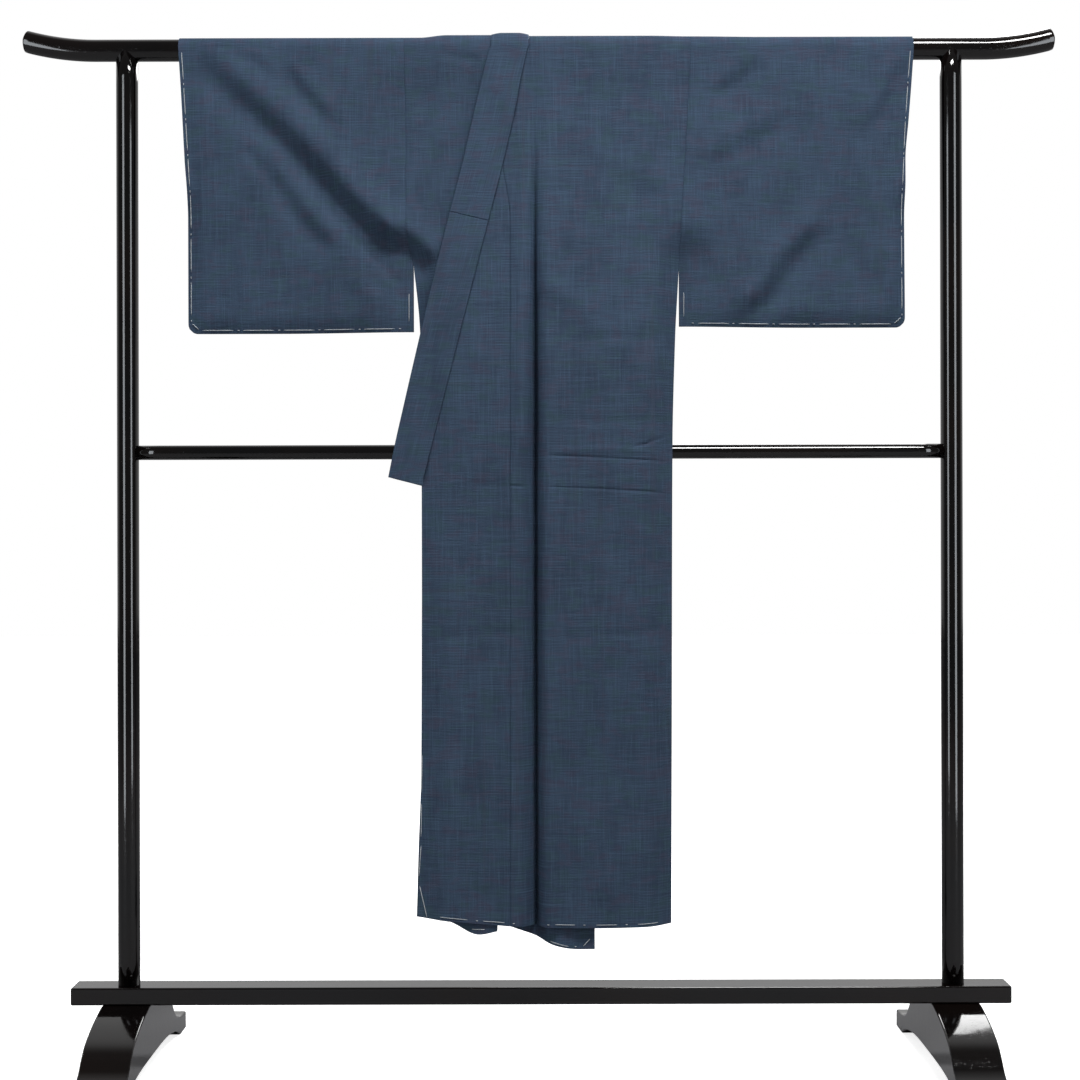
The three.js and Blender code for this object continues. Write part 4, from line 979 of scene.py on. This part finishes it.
def tsumugi_material():
    """Slubbed plain-weave silk: threads of uneven thickness and dye, with small dashed patches"""
    material, g, shader = new_material("tsumugi_cloth")
    at = g.add("ShaderNodeAttribute", "Vector", attribute_name="cloth_at")
    cloudy = g.noise(g.stretch(at, 16, 11), detail=3)
    tint = g.noise(g.stretch(at, 34, 60, 3), detail=2)
    warp = g.noise(g.stretch(at, 760, 16, 5), detail=2, roughness=0.6)
    weft = g.noise(g.stretch(at, 20, 760, 7), detail=2, roughness=0.6)
    rare_warp = g.noise(g.stretch(at, 95, 1.4, 13), detail=1)
    rare_weft = g.noise(g.stretch(at, 1.6, 120, 17), detail=1)
    patches = g.span(g.noise(g.stretch(at, 46, 38, 11), detail=1), 0.52, 0.58)

    def stripes(axis, pitch):
        return g.math("SINE", g.math("MULTIPLY", g.part(at, axis), 2 * math.pi / pitch))

    def dashes(low, high):
        return g.math("MULTIPLY", g.span(lines, low, high), patches)

    lines = stripes("Y", DASH_PITCH)
    dyes = (
        (g.span(cloudy, 0.36, 0.66), 0.46, DYE_DARK), (g.span(tint, 0.52, 0.66), 0.60, DYE_GREEN),
        (g.span(tint, 0.48, 0.34), 0.55, DYE_PURPLE), (g.span(warp, 0.50, 0.72), 0.45, DYE_LIGHT),
        (g.span(weft, 0.50, 0.72), 0.50, DYE_LIGHT), (g.span(warp, 0.46, 0.26), 0.45, DYE_DARK),
        (g.span(weft, 0.46, 0.26), 0.55, DYE_DARK), (dashes(0.1, 0.9), 0.24, DYE_LIGHT),
        (dashes(-0.1, -0.9), 0.24, DYE_DARK), (g.span(rare_warp, 0.62, 0.72), 0.22, DYE_BROWN),
        (g.span(rare_weft, 0.62, 0.72), 0.26, DYE_BROWN))
    colour = DYE_BASE
    for where, most, dye in dyes:
        colour = g.blend(g.math("MULTIPLY", where, most), colour, dye)
    g.link(colour, shader.inputs["Base Color"])
    weave = g.math("MULTIPLY", stripes("X", THREAD_PITCH), stripes("Y", THREAD_PITCH))
    normal = g.bump(weave, 0.00009, strength=0.7)
    normal = g.bump(g.math("ADD", warp, weft), 0.00030, normal, 0.6)
    slubs = g.noise(g.stretch(at, 42, 420, 19), detail=2)
    normal = g.bump(g.span(slubs, 0.60, 0.76), 0.0004, normal, 0.7)
    g.link(normal, shader.inputs["Normal"])
    shader.inputs["Roughness"].default_value = 0.78
    shader.inputs["Specular IOR Level"].default_value = 0.18
    shader.inputs["Sheen Weight"].default_value = 0.06
    shader.inputs["Sheen Roughness"].default_value = 0.45
    shader.inputs["Sheen Tint"].default_value = rgb(150, 175, 205)
    return material


def lacquer_material():
    """Black lacquer over wood: deep gloss, a brown cast, faint waves from the brush"""
    material, g, shader = new_material("black_lacquer")
    at = g.add("ShaderNodeTexCoord", "Object")
    cast = g.noise(g.stretch(at, 3, 3, 5), detail=2)
    colour = g.blend(g.span(cast, 0.4, 0.7), rgb(4, 4, 5), rgb(14, 8, 6))
    g.link(colour, shader.inputs["Base Color"])
    worn = g.noise(g.stretch(at, 90, 90, 90), detail=3)
    g.link(g.span(worn, 0.45, 0.8, 0.07, 0.13), shader.inputs["Roughness"])
    waves = g.noise(g.stretch(at, 26, 26, 9), detail=2)
    specks = g.noise(at, scale=520, detail=1)
    normal = g.bump(waves, 0.0012, strength=0.12)
    normal = g.bump(g.span(specks, 0.66, 0.8), 0.00010, normal, 0.35)
    g.link(normal, shader.inputs["Normal"])
    shader.inputs["Specular IOR Level"].default_value = 0.5
    return material


def thread_material():
    """Loose pale cotton, two-ply"""
    material, g, shader = new_material("basting_thread")
    at = g.add("ShaderNodeTexCoord", "Object")
    soft = g.noise(at, scale=900, detail=2)
    colour = g.blend(g.span(soft, 0.35, 0.7), rgb(140, 148, 156), rgb(186, 192, 197))
    g.link(colour, shader.inputs["Base Color"])
    g.link(g.bump(soft, 0.0002, strength=0.6), shader.inputs["Normal"])
    shader.inputs["Roughness"].default_value = 0.9
    shader.inputs["Sheen Weight"].default_value = 0.2
    return material


def floor_material():
    """Near white where the camera sees it, dimmer in what it reflects on to the object"""
    material, g, shader = new_material("pale_floor")
    at = g.add("ShaderNodeTexCoord", "Object")
    soft = g.noise(at, scale=1.3, detail=2)
    pale = g.blend(soft, (0.80, 0.80, 0.80, 1), (0.83, 0.83, 0.83, 1))
    seen = g.add("ShaderNodeLightPath", "Is Camera Ray")
    g.link(g.blend(seen, (0.30, 0.30, 0.31, 1), pale), shader.inputs["Base Color"])
    g.link(g.math("MULTIPLY", seen, 0.80), shader.inputs["Emission Strength"])
    shader.inputs["Emission Color"].default_value = (1.0, 1.0, 1.0, 1.0)
    shader.inputs["Roughness"].default_value = 0.85
    shader.inputs["Specular IOR Level"].default_value = 0.1
    return material


MATERIALS = {"tsumugi_cloth": tsumugi_material(), "black_lacquer": lacquer_material(),
             "basting_thread": thread_material()}


def place(piece, node, slot):
    piece.data.materials.append(MATERIALS[slot])
    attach(piece, "root")
    if node:
        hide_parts(node)
    return piece


threads = {side: place(baste_sleeve(side), None, "basting_thread") for side in ("left", "right")}
front_thread = place(baste_fronts(), None, "basting_thread")

cloth = {"body_left": make_body_left(), "body_right": make_body_right()}
for kind, make in (("okumi", make_okumi), ("sleeve", make_sleeve), ("collar", make_collar)):
    cloth |= {f"{kind}_{side}": make(side) for side in ("left", "right")}
cloth["over_collar"] = make_over_collar()
for node, piece in cloth.items():
    place(piece, node, "tsumugi_cloth")

place(make_top_rail(), "top_rail", "black_lacquer")
place(make_middle_rail(), "middle_rail", "black_lacquer")
place(make_beam(), "base_beam", "black_lacquer")
for side, centre in (("left", -POST_X), ("right", POST_X)):
    place(make_post(side, centre), f"post_{side}", "black_lacquer")
    place(make_foot(side, centre), f"foot_{side}", "black_lacquer")

# Floor, light and camera


def make_floor():
    reach = 14.0
    corners = [(-reach, -reach, 0), (reach, -reach, 0), (reach, reach, 0), (-reach, reach, 0)]
    floor = new_piece("floor", corners, [(0, 1, 2, 3)])
    floor.data.shade_flat()
    floor.data.materials.append(floor_material())


def add_light(name, place_at, aim_at, width, height, power, colour=(1, 1, 1)):
    light = bpy.data.lights.new(name, "AREA")
    light.shape = "RECTANGLE"
    light.size = width
    light.size_y = height
    light.energy = power
    light.color = colour
    lamp = add_object(name, light)
    lamp.location = place_at
    lamp.rotation_euler = (Vector(aim_at) - Vector(place_at)).to_track_quat("-Z", "Y").to_euler()
    return lamp


def light_world():
    """White where the camera sees it; as a light, bright behind the object and dim before it"""
    seen, behind, before = 1.0, 0.75, 0.12
    world = bpy.data.worlds.new("studio")
    world.use_nodes = True
    g = Graph(world.node_tree)
    shader = world.node_tree.nodes["Background"]
    way = g.part(g.add("ShaderNodeTexCoord", "Generated"), "Y")
    camera_ray = g.add("ShaderNodeLightPath", "Is Camera Ray")
    given = {"Factor": camera_ray, "A": g.span(way, -0.15, 0.55, before, behind), "B": seen}
    g.link(g.add("ShaderNodeMix", "Result", given), shader.inputs["Strength"])
    shader.inputs["Color"].default_value = (1.0, 1.0, 1.0, 1.0)
    bpy.context.scene.world = world


make_floor()
light_world()
add_light("key", (0.9, -2.1, 4.3), (0, 0, 1.1), 1.2, 0.8, 165)
for unseen in (add_light("side", (-3.6, -2.1, 1.7), (0, 0, 0.9), 0.8, 1.5, 40),
               add_light("fill", (3.2, -3.2, 1.6), (0, 0, 0.9), 1.2, 1.6, 20)):
    unseen.visible_glossy = False
add_light("back", (0.8, 3.4, 3.6), (0, 0, 0.9), 2.2, 1.4, 80)
for way in (-1, 1):
    side_box = add_light("softbox_left" if way < 0 else "softbox_right", (2.2 * way, -2.6, 1.1),
                         (0.3 * way, 0, 1.0), 1.0, 2.6, 55, (0.90, 0.95, 1.0))
    side_box.visible_diffuse = False

camera = bpy.data.cameras.new("camera")
camera.lens = CAMERA_LENS
camera.sensor_width = CAMERA_SENSOR
camera.dof.use_dof = False
eye = add_object("camera", camera)
eye.location = (0, -CAMERA_DISTANCE, CAMERA_HEIGHT)
eye.rotation_euler = (math.pi / 2, CAMERA_ROLL, 0)
bpy.context.scene.camera = eye
bpy.context.scene.view_settings.view_transform = "Standard"
